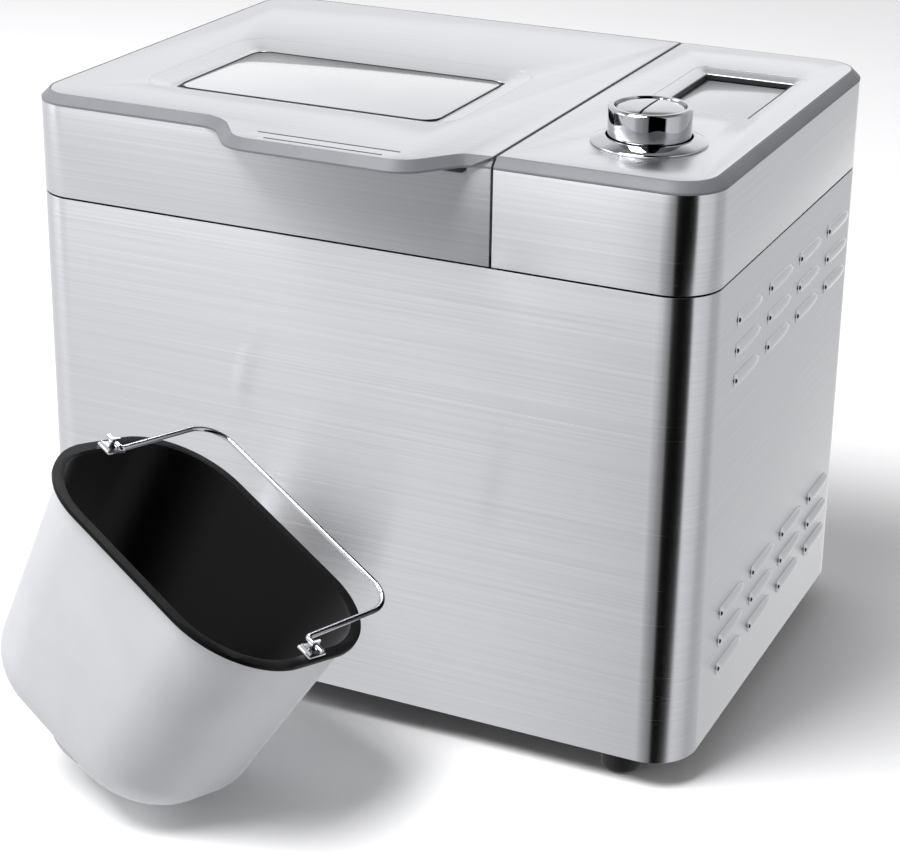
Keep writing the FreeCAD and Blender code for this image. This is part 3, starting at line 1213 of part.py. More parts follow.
def panFittings():
    """Foot ring, rivets, bearing, ear clips, paddle with its shaft, and the coupling under the pan."""
    below = "(-panTall)"
    ring = newBody("panRing")
    profile = sketch(ring, "XZ")
    polygon(profile, [("8", f"{below} - 1.2"), ("collarRadius + 6", f"{below} - 1.2"),
                      ("collarRadius + 6", below), ("8", below)])
    revolve(profile)
    collar = newBody("panCollar")
    profile = sketch(collar, "XZ")
    polygon(profile, [("collarRadius - 1.2", f"{below} - 1"), ("collarRadius", f"{below} - 1"),
                      ("collarRadius", f"{below} - collarTall"),
                      ("collarRadius - 1.2", f"{below} - collarTall")])
    revolve(profile)
    lugs = [block(f"panLug{s}", f"{s}*(collarRadius + 1.2) - 1.6", f"{s}*(collarRadius + 1.2) + 1.6", -5, 5,
                  f"{below} - 7", f"{below} - 3") for s in (-1, 1)]
    panPart("pan_foot", fuse("panFoot", [ring, collar] + lugs))

    bush = newBody("panBush")
    profile = sketch(bush, "XZ")
    bore = "paddleShaft + running"
    polygon(profile, [(bore, f"{below} - 2.4"), ("7.2", f"{below} - 2.4"), ("7.2", f"{below} + panWall"),
                      ("9.5", f"{below} + panWall"), ("9.5", f"{below} + panWall + 2"),
                      ("6.5", f"{below} + 6"), (bore, f"{below} + 6")])
    revolve(profile)
    panPart("pan_bush", bush)

    clips = []
    for s in (-1, 1):
        foot = block(f"clipPlate{s}", f"{s}*pivotX - 4.5", f"{s}*pivotX + 4.5", -8, 8, 0, 1)
        ear = block(f"clipEar{s}", f"{s}*pivotX - 3.2", f"{s}*pivotX + 3.2", -3.4, 3.4, 0, "pivotZ + 2.8")
        hole = rod(f"clipBore{s}", f"{s}*pivotX - 10", 0, "pivotZ", "wire + running", 20, "X")
        rivets = [rod(f"clipRivet{s}{t}", f"{s}*pivotX", f"{t}*6", 0.5, 1.5, 1.3) for t in (-1, 1)]
        clips.append(cut(f"panClip{s}", fuse(f"panClipBlank{s}", [foot, ear] + rivets), [hole]))
    panPart("handle_clips", group("handleClips", clips))

    arm, reach, lift = number("bailArm"), number("pivotX"), number("pivotZ")
    lean = math.radians(7)
    out = Vector(0, math.cos(lean), math.sin(lean)) * arm
    bend = number("bailCorner")
    corners = [Vector(-reach - 4.6, 0, lift), Vector(-reach + 4.9, 0, lift),
               Vector(-reach + 4.9, 0, lift) + out, Vector(reach - 4.9, 0, lift) + out,
               Vector(reach - 4.9, 0, lift), Vector(reach + 4.6, 0, lift)]
    path = roundedPath(corners, [None, 1.6, bend, bend, 1.6, None])
    bail = doc.addObject("Part::Feature", "bail")
    bail.Shape = sweepTube(path, number("wire"))
    panPart("bail_handle", bail)

    spindle = rod("paddleSpindle", 0, 0, f"{below} - 8", "paddleShaft", 34)
    panPart("paddle_shaft", group("paddleShaftNode", [spindle]))
    hub = rod("paddleHub", 0, 0, f"{below} + 7", "9", 22)
    blade = block("paddleBlade", 0, 36, -3, 3, f"{below} + 7.5", f"{below} + 32")
    tip = rod("paddleTip", 34, 0, f"{below} + 7.5", "4", 24.5)
    socket = rod("paddleSocket", 0, 0, f"{below} + 1", "paddleShaft", 25)
    panPart("kneading_paddle", cut("paddle", fuse("paddleBlank", [hub, blade, tip]), [socket]))
    cup = rod("cupHub", 0, 0, f"{below} - 8", "7", 5)
    bar = block("cupBar", -18, 18, -3, 3, f"{below} - 8", f"{below} - 4")
    bore = rod("cupBore", 0, 0, f"{below} - 9", "paddleShaft", 20)
    panPart("pan_coupling", cut("panCoupling", fuse("cupBlank", [cup, bar]), [bore]))


for make in (bodyWrap, rearPanel, cordGland, baseTray, topDeck, bakingChamber, heater, probe, drive, motor,
             electrics, turretSkirt, turretFrame, controls, lidShell, lidPlates, hinges, panBin, panFittings):
    make()
    doc.recompute()

# ---------------------------------------------------------------- checks and files
for obj in doc.Objects:
    if {"Invalid", "Error"} & set(obj.State):
        raise RuntimeError(f"{obj.Name} failed: {obj.State}")
os.makedirs("parts", exist_ok=True)
for label, obj in nodes.items():
    if obj.Shape.isNull() or not obj.Shape.isValid():
        raise RuntimeError(f"{label} has no valid shape")
    obj.Shape.exportStep(f"parts/{label}.step")
print(f"{len(nodes)} sub-parts written")
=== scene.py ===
import bpy
import bmesh
import json
import math
from mathutils import Matrix, Vector


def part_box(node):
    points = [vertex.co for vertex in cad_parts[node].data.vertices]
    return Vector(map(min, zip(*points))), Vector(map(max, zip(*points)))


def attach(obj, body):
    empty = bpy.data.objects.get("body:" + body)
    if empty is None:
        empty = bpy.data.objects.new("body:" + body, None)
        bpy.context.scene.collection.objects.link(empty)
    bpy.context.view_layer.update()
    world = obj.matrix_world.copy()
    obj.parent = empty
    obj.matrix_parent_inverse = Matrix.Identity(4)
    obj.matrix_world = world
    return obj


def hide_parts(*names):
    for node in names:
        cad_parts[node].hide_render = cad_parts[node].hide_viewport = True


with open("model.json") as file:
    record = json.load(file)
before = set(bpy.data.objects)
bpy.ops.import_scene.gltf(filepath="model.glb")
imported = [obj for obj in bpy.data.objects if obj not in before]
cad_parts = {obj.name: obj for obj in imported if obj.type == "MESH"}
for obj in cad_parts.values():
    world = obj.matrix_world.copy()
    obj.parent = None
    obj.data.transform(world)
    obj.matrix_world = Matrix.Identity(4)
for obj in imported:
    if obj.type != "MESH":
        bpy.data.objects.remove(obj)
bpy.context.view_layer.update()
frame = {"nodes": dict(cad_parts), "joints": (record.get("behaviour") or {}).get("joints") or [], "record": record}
joints = {joint["name"]: joint for joint in frame["joints"]}
print("frame loaded,", len(frame["nodes"]), "parts")


def hexColor(text):
    # sRGB hex to the linear values that shaders want
    parts = [int(text[i:i + 2], 16) / 255 for i in (0, 2, 4)]
    linear = [c / 12.92 if c <= 0.04045 else ((c + 0.055) / 1.055) ** 2.4 for c in parts]
    return (*linear, 1)


def addNode(tree, kind, values=None, links=None, **settings):
    node = tree.nodes.new(kind)
    for name, value in settings.items():
        setattr(node, name, value)
    for name, value in (values or {}).items():
        node.inputs[name].default_value = value
    for name, source in (links or {}).items():
        tree.links.new(source, node.inputs[name])
    return node


def deselectAll():
    if bpy.context.object and bpy.context.object.mode == "EDIT":
        bpy.ops.object.mode_set(mode="OBJECT")
    bpy.ops.object.select_all(action="DESELECT")


def makeActive(piece):
    deselectAll()
    piece.select_set(True)
    bpy.context.view_layer.objects.active = piece
    return piece


def edit(piece, mode="FACE"):
    makeActive(piece)
    bpy.ops.object.mode_set(mode="EDIT")
    bpy.ops.mesh.select_mode(type=mode)
    bpy.ops.mesh.select_all(action="DESELECT")


def pick(kind, test):
    # selects verts, edges or faces by their place, in edit mode
    mesh = bmesh.from_edit_mesh(bpy.context.object.data)
    bpy.ops.mesh.select_mode(type={"verts": "VERT", "edges": "EDGE", "faces": "FACE"}[kind])
    bpy.ops.mesh.select_all(action="DESELECT")
    mesh = bmesh.from_edit_mesh(bpy.context.object.data)
    count = 0
    for item in getattr(mesh, kind):
        if test(item):
            item.select_set(True)
            count += 1
    mesh.select_flush_mode()
    bmesh.update_edit_mesh(bpy.context.object.data)
    return count


def middle(edge):
    return (edge.verts[0].co + edge.verts[1].co) / 2


def upright(edge):
    a, b = (v.co for v in edge.verts)
    return abs(a.x - b.x) + abs(a.y - b.y) < 1e-6


def objectMode():
    bpy.ops.object.mode_set(mode="OBJECT")


def settle(piece):
    # puts the piece's place into its mesh and leaves the object at the origin
    piece.data.transform(piece.matrix_world)
    piece.matrix_world = Matrix.Identity(4)
    return piece


def addBox(low, high):
    deselectAll()
    low, high = Vector(low), Vector(high)
    bpy.ops.mesh.primitive_cube_add(size=1, location=(low + high) / 2)
    piece = bpy.context.object
    piece.scale = high - low
    bpy.context.view_layer.update()
    return settle(piece)


def addTube(centre, radius, bottom, top, steps=96):
    deselectAll()
    spot = (centre[0], centre[1], (bottom + top) / 2)
    bpy.ops.mesh.primitive_cylinder_add(vertices=steps, radius=radius, depth=top - bottom, location=spot)
    bpy.context.view_layer.update()
    return settle(bpy.context.object)


def modify(piece, kind, **settings):
    makeActive(piece)
    modifier = piece.modifiers.new(kind.lower(), kind)
    for name, value in settings.items():
        setattr(modifier, name, value)
    bpy.ops.object.modifier_apply(modifier=modifier.name)
    return piece


def softenEdges(piece, width, steps=2, angle=30):
    return modify(piece, "BEVEL", width=width, segments=steps, limit_method="ANGLE",
                  angle_limit=math.radians(angle), harden_normals=False, use_clamp_overlap=True)


def joinPieces(pieces):
    deselectAll()
    for piece in pieces:
        piece.select_set(True)
    bpy.context.view_layer.objects.active = pieces[0]
    bpy.ops.object.join()
    return pieces[0]


def copyPiece(piece, matrix):
    twin = piece.copy()
    twin.data = piece.data.copy()
    bpy.context.scene.collection.objects.link(twin)
    twin.data.transform(matrix)
    return twin


def place(piece, name, body, material, nodes=(), angle=32):
    # names a finished piece, shades it and ties it to its body
    piece.name = name
    piece.data.name = name
    if material:
        piece.data.materials.clear()
        piece.data.materials.append(material)
    makeActive(piece)
    bpy.ops.object.shade_smooth_by_angle(angle=math.radians(angle))
    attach(piece, body)
    if nodes:
        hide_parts(*nodes)
    return piece


def refine(node, name, body, material, width=0.0004, steps=2):
    # a merged copy of a CAD part with its edges broken, in place of the plain one
    piece = frame["nodes"][node].copy()
    piece.data = piece.data.copy()
    piece.parent = None
    for key in list(piece.keys()):
        del piece[key]
    bpy.context.scene.collection.objects.link(piece)
    edit(piece, "VERT")
    bpy.ops.mesh.select_all(action="SELECT")
    bpy.ops.mesh.remove_doubles(threshold=0.00001)
    bpy.ops.mesh.dissolve_limited(angle_limit=math.radians(0.5))
    objectMode()
    if width:
        softenEdges(piece, width, steps)
    return place(piece, name, body, material, [node])


def newMaterial(name):
    material = bpy.data.materials.new(name)
    material.use_nodes = True
    tree = material.node_tree
    tree.nodes.clear()
    output = addNode(tree, "ShaderNodeOutputMaterial")
    shader = addNode(tree, "ShaderNodeBsdfPrincipled")
    tree.links.new(shader.outputs["BSDF"], output.inputs["Surface"])
    coords = addNode(tree, "ShaderNodeTexCoord").outputs["Object"]
    return material, tree, shader, coords


def grainMap(tree, coords, scale, noiseScale=1.0, detail=3):
    # noise in object space, stretched by scale (per metre on each axis)
    mapped = addNode(tree, "ShaderNodeMapping", {"Scale": scale}, {"Vector": coords})
    return addNode(tree, "ShaderNodeTexNoise", {"Scale": noiseScale, "Detail": detail, "Roughness": 0.6},
                   {"Vector": mapped.outputs["Vector"]}).outputs["Fac"]


def ranged(tree, source, low, high, fromLow=0.3, fromHigh=0.7):
    return addNode(tree, "ShaderNodeMapRange", {"From Min": fromLow, "From Max": fromHigh, "To Min": low,
                   "To Max": high}, {"Value": source}).outputs["Result"]


def blendColors(tree, source, first, second, fromLow=0.3, fromHigh=0.7):
    ramp = addNode(tree, "ShaderNodeValToRGB", links={"Fac": source})
    ramp.color_ramp.elements[0].position = fromLow
    ramp.color_ramp.elements[0].color = hexColor(first)
    ramp.color_ramp.elements[1].position = fromHigh
    ramp.color_ramp.elements[1].color = hexColor(second)
    return ramp.outputs["Color"]


def wire(tree, shader, name, source):
    tree.links.new(source, shader.inputs[name])


def bumpFrom(tree, shader, source, strength, distance):
    bump = addNode(tree, "ShaderNodeBump", {"Strength": strength, "Distance": distance}, {"Height": source})
    tree.links.new(bump.outputs["Normal"], shader.inputs["Normal"])


def brushedSteel(name, direction, dark, light, roughness=(0.25, 0.275), stretch=0.95):
    # cold-rolled stainless sheet, belt-brushed: fine parallel lines, coarsened to about 1 mm so that they
    # show, that stretch each highlight across the brushing
    material, tree, shader, coords = newMaterial(name)
    across, along = 1000, 6
    fine = grainMap(tree, coords, [along if axis in direction else across for axis in "xyz"], detail=4)
    wire(tree, shader, "Base Color", blendColors(tree, fine, dark, light))
    wire(tree, shader, "Roughness", ranged(tree, fine, *roughness))
    shader.inputs["Metallic"].default_value = 1
    shader.inputs["Anisotropic"].default_value = stretch
    shader.inputs["Anisotropic Rotation"].default_value = 0.25
    tangent = addNode(tree, "ShaderNodeTangent", direction_type="RADIAL",
                      axis="Z" if "y" in direction else "X")
    wire(tree, shader, "Tangent", tangent.outputs["Tangent"])
    bumpFrom(tree, shader, fine, 0.006, 0.0001)
    return material


def metalSheet(name, dark, light, roughness, grain=40, bump=0.03):
    # plain rolled or plated sheet: faint cloudy patches in tone and gloss
    material, tree, shader, coords = newMaterial(name)
    cloud = grainMap(tree, coords, (grain, grain, grain))
    fine = grainMap(tree, coords, (1800, 1800, 1800), detail=1)
    wire(tree, shader, "Base Color", blendColors(tree, cloud, dark, light))
    wire(tree, shader, "Roughness", ranged(tree, cloud, *roughness))
    shader.inputs["Metallic"].default_value = 1
    bumpFrom(tree, shader, fine, bump, 0.0001)
    return material


def mouldedPlastic(name, dark, light, roughness, grain=1500, bump=0.08, ior=1.5, gloss=0.5):
    # injection-moulded plastic with a spark-eroded grain, about 0.6 mm
    material, tree, shader, coords = newMaterial(name)
    fine = grainMap(tree, coords, (grain, grain, grain), detail=2)
    cloud = grainMap(tree, coords, (25, 25, 25))
    wire(tree, shader, "Base Color", blendColors(tree, cloud, dark, light))
    wire(tree, shader, "Roughness", ranged(tree, fine, *roughness))
    shader.inputs["IOR"].default_value = ior
    shader.inputs["Specular IOR Level"].default_value = gloss
    bumpFrom(tree, shader, fine, bump, 0.0002)
    return material


def mirrorChrome():
    # bright nickel-chrome plate over a polished moulding: near mirror, with the faintest haze
    material, tree, shader, coords = newMaterial("brightChromePlate")
    haze = grainMap(tree, coords, (60, 60, 60))
    wire(tree, shader, "Base Color", blendColors(tree, haze, "b9babe", "c4c5c9"))
    wire(tree, shader, "Roughness", ranged(tree, haze, 0.03, 0.07))
    shader.inputs["Metallic"].default_value = 1
    return material


def castPan():
    # pressed aluminium with a fine blasted finish: soft, wide highlights and a pale even tone
    material, tree, shader, coords = newMaterial("blastedAluminium")
    fine = grainMap(tree, coords, (2200, 2200, 2200), detail=2)
    cloud = grainMap(tree, coords, (18, 18, 18))
    wire(tree, shader, "Base Color", blendColors(tree, cloud, "bebfc2", "c7c8cb"))
    wire(tree, shader, "Roughness", ranged(tree, fine, 0.52, 0.64))
    shader.inputs["Metallic"].default_value = 0.55
    bumpFrom(tree, shader, fine, 0.15, 0.0002)
    return material


def nonStick():
    # two-coat PTFE enamel: near black with a satin sheen and a fine orange peel of about 1 mm
    material, tree, shader, coords = newMaterial("nonStickEnamel")
    peel = grainMap(tree, coords, (900, 900, 900), detail=2)
    wire(tree, shader, "Base Color", blendColors(tree, peel, "030304", "070708"))
    shader.inputs["Specular IOR Level"].default_value = 0.12
    wire(tree, shader, "Roughness", ranged(tree, peel, 0.34, 0.46))
    bumpFrom(tree, shader, peel, 0.12, 0.0002)
    return material


def satinGlass(name, tint, roughness, clear):
    # toughened glass with a pale back print: a clear gloss over a soft grey
    material, tree, shader, coords = newMaterial(name)
    cloud = grainMap(tree, coords, (14, 14, 14), detail=1)
    wire(tree, shader, "Base Color", blendColors(tree, cloud, tint[0], tint[1]))
    wire(tree, shader, "Roughness", ranged(tree, cloud, *roughness))
    shader.inputs["Transmission Weight"].default_value = clear
    shader.inputs["IOR"].default_value = 1.52
    shader.inputs["Coat Weight"].default_value = 0.6
    shader.inputs["Coat Roughness"].default_value = 0.04
    return material


finish = {
    "brushed_steel": brushedSteel("brushedStainlessBand", "xy", "cdced1", "d5d6d9"),
    "brushed_top": brushedSteel("brushedStainlessTop", "x", "cecfd2", "dbdcdf", (0.3, 0.38), 0.5),
    "grey_trim": mouldedPlastic("satinGreyTrim", "68696e", "717277", (0.4, 0.48), 1500, 0.04, 1.5, 0.25),
    "black_plastic": mouldedPlastic("grainedBlackAbs", "0e0e10", "161618", (0.42, 0.55)),
    "dark_plastic": mouldedPlastic("mattDarkNylon", "1d1e20", "26272a", (0.5, 0.62)),
    "foot_rubber": mouldedPlastic("mouldedBlackRubber", "0b0b0c", "121213", (0.6, 0.75), 900, 0.15, 1.52),
    "belt_rubber": mouldedPlastic("neopreneBelt", "0d0d0e", "131314", (0.65, 0.8), 700, 0.2, 1.52),
    "plated_steel": metalSheet("brightZincPlate", "b7b9bb", "c9cacb", (0.22, 0.32)),
    "oven_steel": metalSheet("rolledSteelLiner", "a5a6a8", "b6b7b9", (0.3, 0.42), 25),
    "heater_sheath": metalSheet("oxidisedHeaterSheath", "3a3734", "4a4642", (0.5, 0.65), 120, 0.1),
    "ceramic": mouldedPlastic("unglazedSteatite", "d9d4c6", "e2ddd0", (0.6, 0.7), 1200, 0.1),
    "galvanised_steel": metalSheet("galvanisedSheet", "8f9396", "a8acb0", (0.35, 0.5), 110, 0.05),
    "bronze": metalSheet("sinteredBronze", "8c6a3e", "a07c4c", (0.4, 0.5), 300, 0.1),
    "cast_alloy": metalSheet("dieCastAlloy", "9fa0a3", "adaeb1", (0.4, 0.5), 160, 0.1),
    "circuit_board": mouldedPlastic("greenSolderMask", "0d3b20", "12492a", (0.25, 0.35), 500, 0.05),
    "clear_window": satinGlass("temperedWindowGlass", ("a3a4a7", "aeafb2"), (0.12, 0.18), 0.1),
    "lcd_panel": satinGlass("displayFilm", ("9c9da1", "a6a7ab"), (0.2, 0.3), 0.0),
    "chrome": mirrorChrome(),
    "silicone_seal": mouldedPlastic("greySiliconeSeal", "6f7072", "7a7b7d", (0.5, 0.6), 900, 0.08, 1.43),
    "pan_aluminium": castPan(),
    "nonstick": nonStick(),
}
print("materials made")

slots = {part["node"]: part["material_slot"] for part in frame["record"]["subparts"]}
for node, part in frame["nodes"].items():
    part.data.materials.clear()
    part.data.materials.append(finish[slots[node]])


casing = {
    "corner": 0.022,       # radius of the four upright corners
    "cornerSteps": 24,
    "sheet": 0.0008,
    "hem": 0.0003,         # broken edge of the steel
    "rearMargin": 0.03,    # steel left at each side of the rear panel
    "rearLip": 0.006,      # steel that laps over the panel's top and foot
    "louvreLong": 0.035,
    "louvreTall": 0.0034,  # half height
    "louvreRise": 0.0016,
    "louvreLean": 1.3,     # how far the front face falls back for each unit of rise
    "louvreFront": -0.076,
    "louvreStep": 0.0465,
    "louvreDrop": 0.0144,
    "louvreFeet": (0.0441, 0.1881),
    "slitDeep": 0.001,
}


def roundBox(low, high, radius, steps, test=lambda edge: True):
    piece = addBox(low, high)
    edit(piece)
    pick("edges", lambda e: upright(e) and test(e))
    bpy.ops.mesh.bevel(offset=radius, segments=steps, affect="EDGES")
    objectMode()
    return piece


def openShell(piece, low, high, sides):
    # takes away the top, the bottom and any named side, and gives the rest a sheet's thickness
    edit(piece)
    ends = {"top": (2, high.z), "bottom": (2, low.z), "left": (0, low.x), "right": (0, high.x)}
    for side in sides:
        axis, value = ends[side]
        pick("faces", lambda f: abs(f.normal[axis]) > 0.99
             and abs(f.calc_center_median()[axis] - value) < 1e-5)
        bpy.ops.mesh.delete(type="FACE")
    objectMode()
    modify(piece, "SOLIDIFY", thickness=casing["sheet"], offset=-1, use_even_offset=True)
    return piece


def bodyBand():
    low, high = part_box("body_wrap")
    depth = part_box("turret_skirt")[1].y
    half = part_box("turret_skirt")[1].x
    low = Vector((-half, -depth, low.z))
    high = Vector((half, depth, high.z))
    piece = roundBox(low, high, casing["corner"], casing["cornerSteps"])
    edit(piece)
    rearLow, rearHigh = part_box("rear_panel")
    margin, lip = casing["rearMargin"], casing["rearLip"]
    cuts = (((low.x + margin, 0, 0), (1, 0, 0)), ((high.x - margin, 0, 0), (1, 0, 0)),
            ((0, 0, rearLow.z + lip), (0, 0, 1)), ((0, 0, rearHigh.z - lip), (0, 0, 1)))
    for point, normal in cuts:
        pick("faces", lambda f: f.normal.y > 0.99)
        bpy.ops.mesh.bisect(plane_co=point, plane_no=normal)
    pick("faces", lambda f: f.normal.y > 0.99 and abs(f.calc_center_median().x) < half - margin
         and rearLow.z + lip < f.calc_center_median().z < rearHigh.z - lip)
    bpy.ops.mesh.delete(type="FACE")
    objectMode()
    openShell(piece, low, high, ("top", "bottom"))
    softenEdges(piece, casing["hem"], 2, 50)
    place(piece, "steelBand", "machine", finish["brushed_steel"], ["body_wrap"])


def oneLouvre():
    # a quarter of an egg: tallest at its front end, run out to nothing at the back
    deselectAll()
    bpy.ops.mesh.primitive_uv_sphere_add(segments=32, ring_count=16, radius=1)
    piece = bpy.context.object
    piece.scale = (casing["louvreRise"], casing["louvreLong"], casing["louvreTall"])
    bpy.context.view_layer.update()
    settle(piece)
    edit(piece, "VERT")
    for normal in ((0, 1, 0), (1, 0, 0)):
        bpy.ops.mesh.select_all(action="SELECT")
        bpy.ops.mesh.bisect(plane_co=(0, 0, 0), plane_no=normal, clear_inner=True)
    # the tail stays full for most of its length, then drops
    mesh = bmesh.from_edit_mesh(piece.data)
    for vert in mesh.verts:
        along = vert.co.y / casing["louvreLong"]
        full = math.sqrt(max(1 - along ** 2, 1e-6))
        firm = max(1 - along ** 6, 0) ** 0.5
        vert.co.x *= firm / full
        vert.co.z *= firm / full
    bmesh.update_edit_mesh(piece.data)
    # the front end is closed by a face that leans back; the slit at its foot is a black disc laid on later,
    # painted shade in place of an opening
    pick("edges", lambda e: e.is_boundary and abs(middle(e).y) < 1e-5)
    bpy.ops.mesh.edge_face_add()
    objectMode()
    for vert in piece.data.vertices:
        if vert.co.y < 1e-5:
            vert.co.y += vert.co.x * casing["louvreLean"]
    return piece


def louvres():
    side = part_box("turret_skirt")[1].x
    skin = oneLouvre()
    # each slit is a thin black disc on the closed front face: painted shade where a real mouth would show the dark
    # inside
    slitShade = addTube((0, 0), casing["louvreTall"] * 0.3, -casing["slitDeep"] / 2, casing["slitDeep"] / 2, 32)
    slitShade.data.transform(Matrix.Diagonal((0.5, 1, 1, 1)))
    slitShade.data.transform(Matrix.Rotation(math.pi / 2, 4, "X"))
    slitShade.data.transform(Matrix.Translation((casing["louvreRise"] * 0.35, casing["slitDeep"] * 0.9, 0)))
    columns = [casing["louvreFront"] + casing["louvreStep"] * i for i in range(4)]
    rows = [foot + casing["louvreDrop"] * i for foot in casing["louvreFeet"] for i in range(3)]
    skins, slitShades = [], []
    for way in (1, -1):
        for y in columns:
            for z in rows:
                matrix = Matrix.Translation((way * side, y, z)) @ Matrix.Diagonal((way, 1, 1, 1))
                skins.append(copyPiece(skin, matrix))
                slitShades.append(copyPiece(slitShade, matrix))
    for start in (skin, slitShade):
        bpy.data.objects.remove(start)
    for group, name, slotName in ((skins, "sideLouvres", "brushed_steel"),
                                  (slitShades, "louvreSlits", "black_plastic")):
        piece = joinPieces(group)
        edit(piece)
        bpy.ops.mesh.select_all(action="SELECT")
        bpy.ops.mesh.normals_make_consistent(inside=False)
        objectMode()
        place(piece, name, "machine", finish[slotName])


def capBand(node, name, body, splitSide):
    low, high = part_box(node)
    outer = (lambda e: middle(e).x < 0) if splitSide == "right" else (lambda e: middle(e).x > 0.1)
    piece = roundBox(low, high, casing["corner"], casing["cornerSteps"], outer)
    openShell(piece, low, high, ("top", "bottom", splitSide))
    softenEdges(piece, casing["hem"], 2, 50)
    place(piece, name, body, finish["brushed_steel"], [node])


bodyBand()
louvres()
capBand("turret_skirt", "turretBand", "machine", "left")
capBand("lid_skirt", "lidBand", "lid", "right")
print("casing made")


tops = {
    "slope": 0.004,        # run and rise of the trim's sloped edge
    "foot": 0.001,         # upright part below the slope
    "rimFlat": 0.0004,     # flat of the trim between its slope and the plate
    "plateGap": 0.0003,
    "plateThick": 0.0015,
    "ledge": 0.005,        # trim under the plate's edge
    "underside": 0.008,    # width of the ring that closes the trim below
    "wallThick": 0.002,    # upright wall of the trim along the split
    "wallInset": 0.0015,
    "tongueRoot": (-0.066, 0.061),
    "tongueFront": (-0.046, 0.041),
    "tongueReach": 0.026,
    "tongueRound": 0.009,
    "dishSlope": 0.013,    # run of the pressed frame round the window
    "dishRound": 0.016,
    "dishFlat": 0.0008,
    "screenSlope": 0.0052,
    "screenRound": 0.007,
    "screenInset": 0.003,
    "gasketWide": 0.0009,
    "gasketTall": 0.0022,
    "grooveWide": 0.0011,
    "grooves": ((-0.1315, -0.038, 0.032), (-0.139, -0.031, 0.027)),
    # corners of a dark block under the tongue's right flank: painted shade where the lip overhangs the lid front
    "catch": ((0.046, -0.1258, 0.2814), (0.059, -0.1216, 0.2842)),
}


def capOutline(low, high, tongue, splitSide):
    # a flat sheet with the casing's outer corners rounded and, on the lid, the tongue drawn out in front
    deselectAll()
    bpy.ops.mesh.primitive_plane_add(size=1, location=((low.x + high.x) / 2, (low.y + high.y) / 2, low.z))
    piece = bpy.context.object
    piece.scale = (high.x - low.x, high.y - low.y, 1)
    bpy.context.view_layer.update()
    settle(piece)
    edit(piece, "EDGE")
    roots, fronts = tops["tongueRoot"], tops["tongueFront"]
    if tongue:
        for x in roots:
            bpy.ops.mesh.select_all(action="SELECT")
            bpy.ops.mesh.bisect(plane_co=(x, 0, 0), plane_no=(1, 0, 0))
        pick("edges", lambda e: abs(middle(e).y - low.y) < 1e-5 and roots[0] < middle(e).x < roots[1])
        bpy.ops.mesh.extrude_edges_move(TRANSFORM_OT_translate={"value": (0, -tops["tongueReach"], 0)})
        front = low.y - tops["tongueReach"]
        for root, reach in zip(roots, fronts):
            pick("verts", lambda v: abs(v.co.y - front) < 1e-5 and v.co.x * root > 0)
            bpy.ops.transform.translate(value=(reach - root, 0, 0))
        bpy.ops.mesh.select_all(action="SELECT")
        bpy.ops.mesh.dissolve_limited(angle_limit=math.radians(1))
    flat = (lambda v: v.co.x > 0) if splitSide == "right" else (lambda v: v.co.x < 0.1)
    pick("verts", lambda v: not flat(v) and abs(abs(v.co.y) - high.y) < 1e-5
         and abs(abs(v.co.x) - max(abs(low.x), abs(high.x))) < 1e-5)
    bpy.ops.mesh.bevel(offset=casing["corner"], segments=casing["cornerSteps"], affect="VERTICES")
    if tongue:
        rounded = ((low.y - tops["tongueReach"], tops["tongueRound"]), (low.y, tops["tongueRound"] * 0.8))
        for y, radius in rounded:
            pick("verts", lambda v: abs(v.co.y - y) < 1e-5 and roots[0] - 0.001 < v.co.x < roots[1] + 0.001)
            bpy.ops.mesh.bevel(offset=radius, segments=8, affect="VERTICES")
    objectMode()
    return piece


def straightenSplit(splitX):
    # an inset also draws in the edge along the split; this puts it back
    reach = 0.012
    mesh = bmesh.from_edit_mesh(bpy.context.object.data)
    picked = [v for v in mesh.verts if v.select and abs(v.co.x - splitX) < reach]
    for vert in picked:
        vert.co.x = splitX
    bmesh.update_edit_mesh(bpy.context.object.data)


def topTrim(node, tongue, splitSide):
    # the plastic frame round the plate: a sloped edge outside, a ledge for the plate inside and a wall
    # along the split
    low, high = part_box(node)
    depth = high.y
    low = Vector((low.x, -depth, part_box("turret_skirt")[1].z))
    high = Vector((high.x, depth, high.z))
    splitX = high.x if splitSide == "right" else low.x
    outline = capOutline(low, high, tongue, splitSide)
    edit(outline)
    bpy.ops.mesh.select_all(action="SELECT")
    bpy.ops.mesh.extrude_region_move(TRANSFORM_OT_translate={"value": (0, 0, tops["foot"])})
    bpy.ops.mesh.inset(thickness=tops["slope"], depth=high.z - low.z - tops["foot"], use_even_offset=True)
    straightenSplit(splitX)
    bpy.ops.mesh.inset(thickness=tops["rimFlat"], depth=0, use_even_offset=True)
    bpy.ops.mesh.extrude_region_move(TRANSFORM_OT_translate={"value": (0, 0, -tops["plateThick"])})
    bpy.ops.mesh.inset(thickness=tops["ledge"], depth=0, use_even_offset=True)
    bpy.ops.mesh.delete(type="FACE")
    # the underside is a ring too, so the openings inside it stay clear
    pick("faces", lambda f: abs(f.calc_center_median().z - low.z) < 0.0001 and f.calc_area() > 0.005)
    bpy.ops.mesh.inset(thickness=tops["underside"], depth=0, use_even_offset=True)
    bpy.ops.mesh.delete(type="FACE")
    bpy.ops.mesh.select_all(action="SELECT")
    bpy.ops.mesh.normals_make_consistent(inside=False)
    objectMode()
    inward = splitX - tops["wallThick"] if splitSide == "right" else splitX + tops["wallThick"]
    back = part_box("lid_skirt")[1].y - tops["wallInset"]
    wall = addBox((min(splitX, inward), -back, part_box(node)[0].z),
                  (max(splitX, inward), back, low.z + 0.0005))
    return softenEdges(joinPieces([outline, wall]), 0.0003, 2, 25)


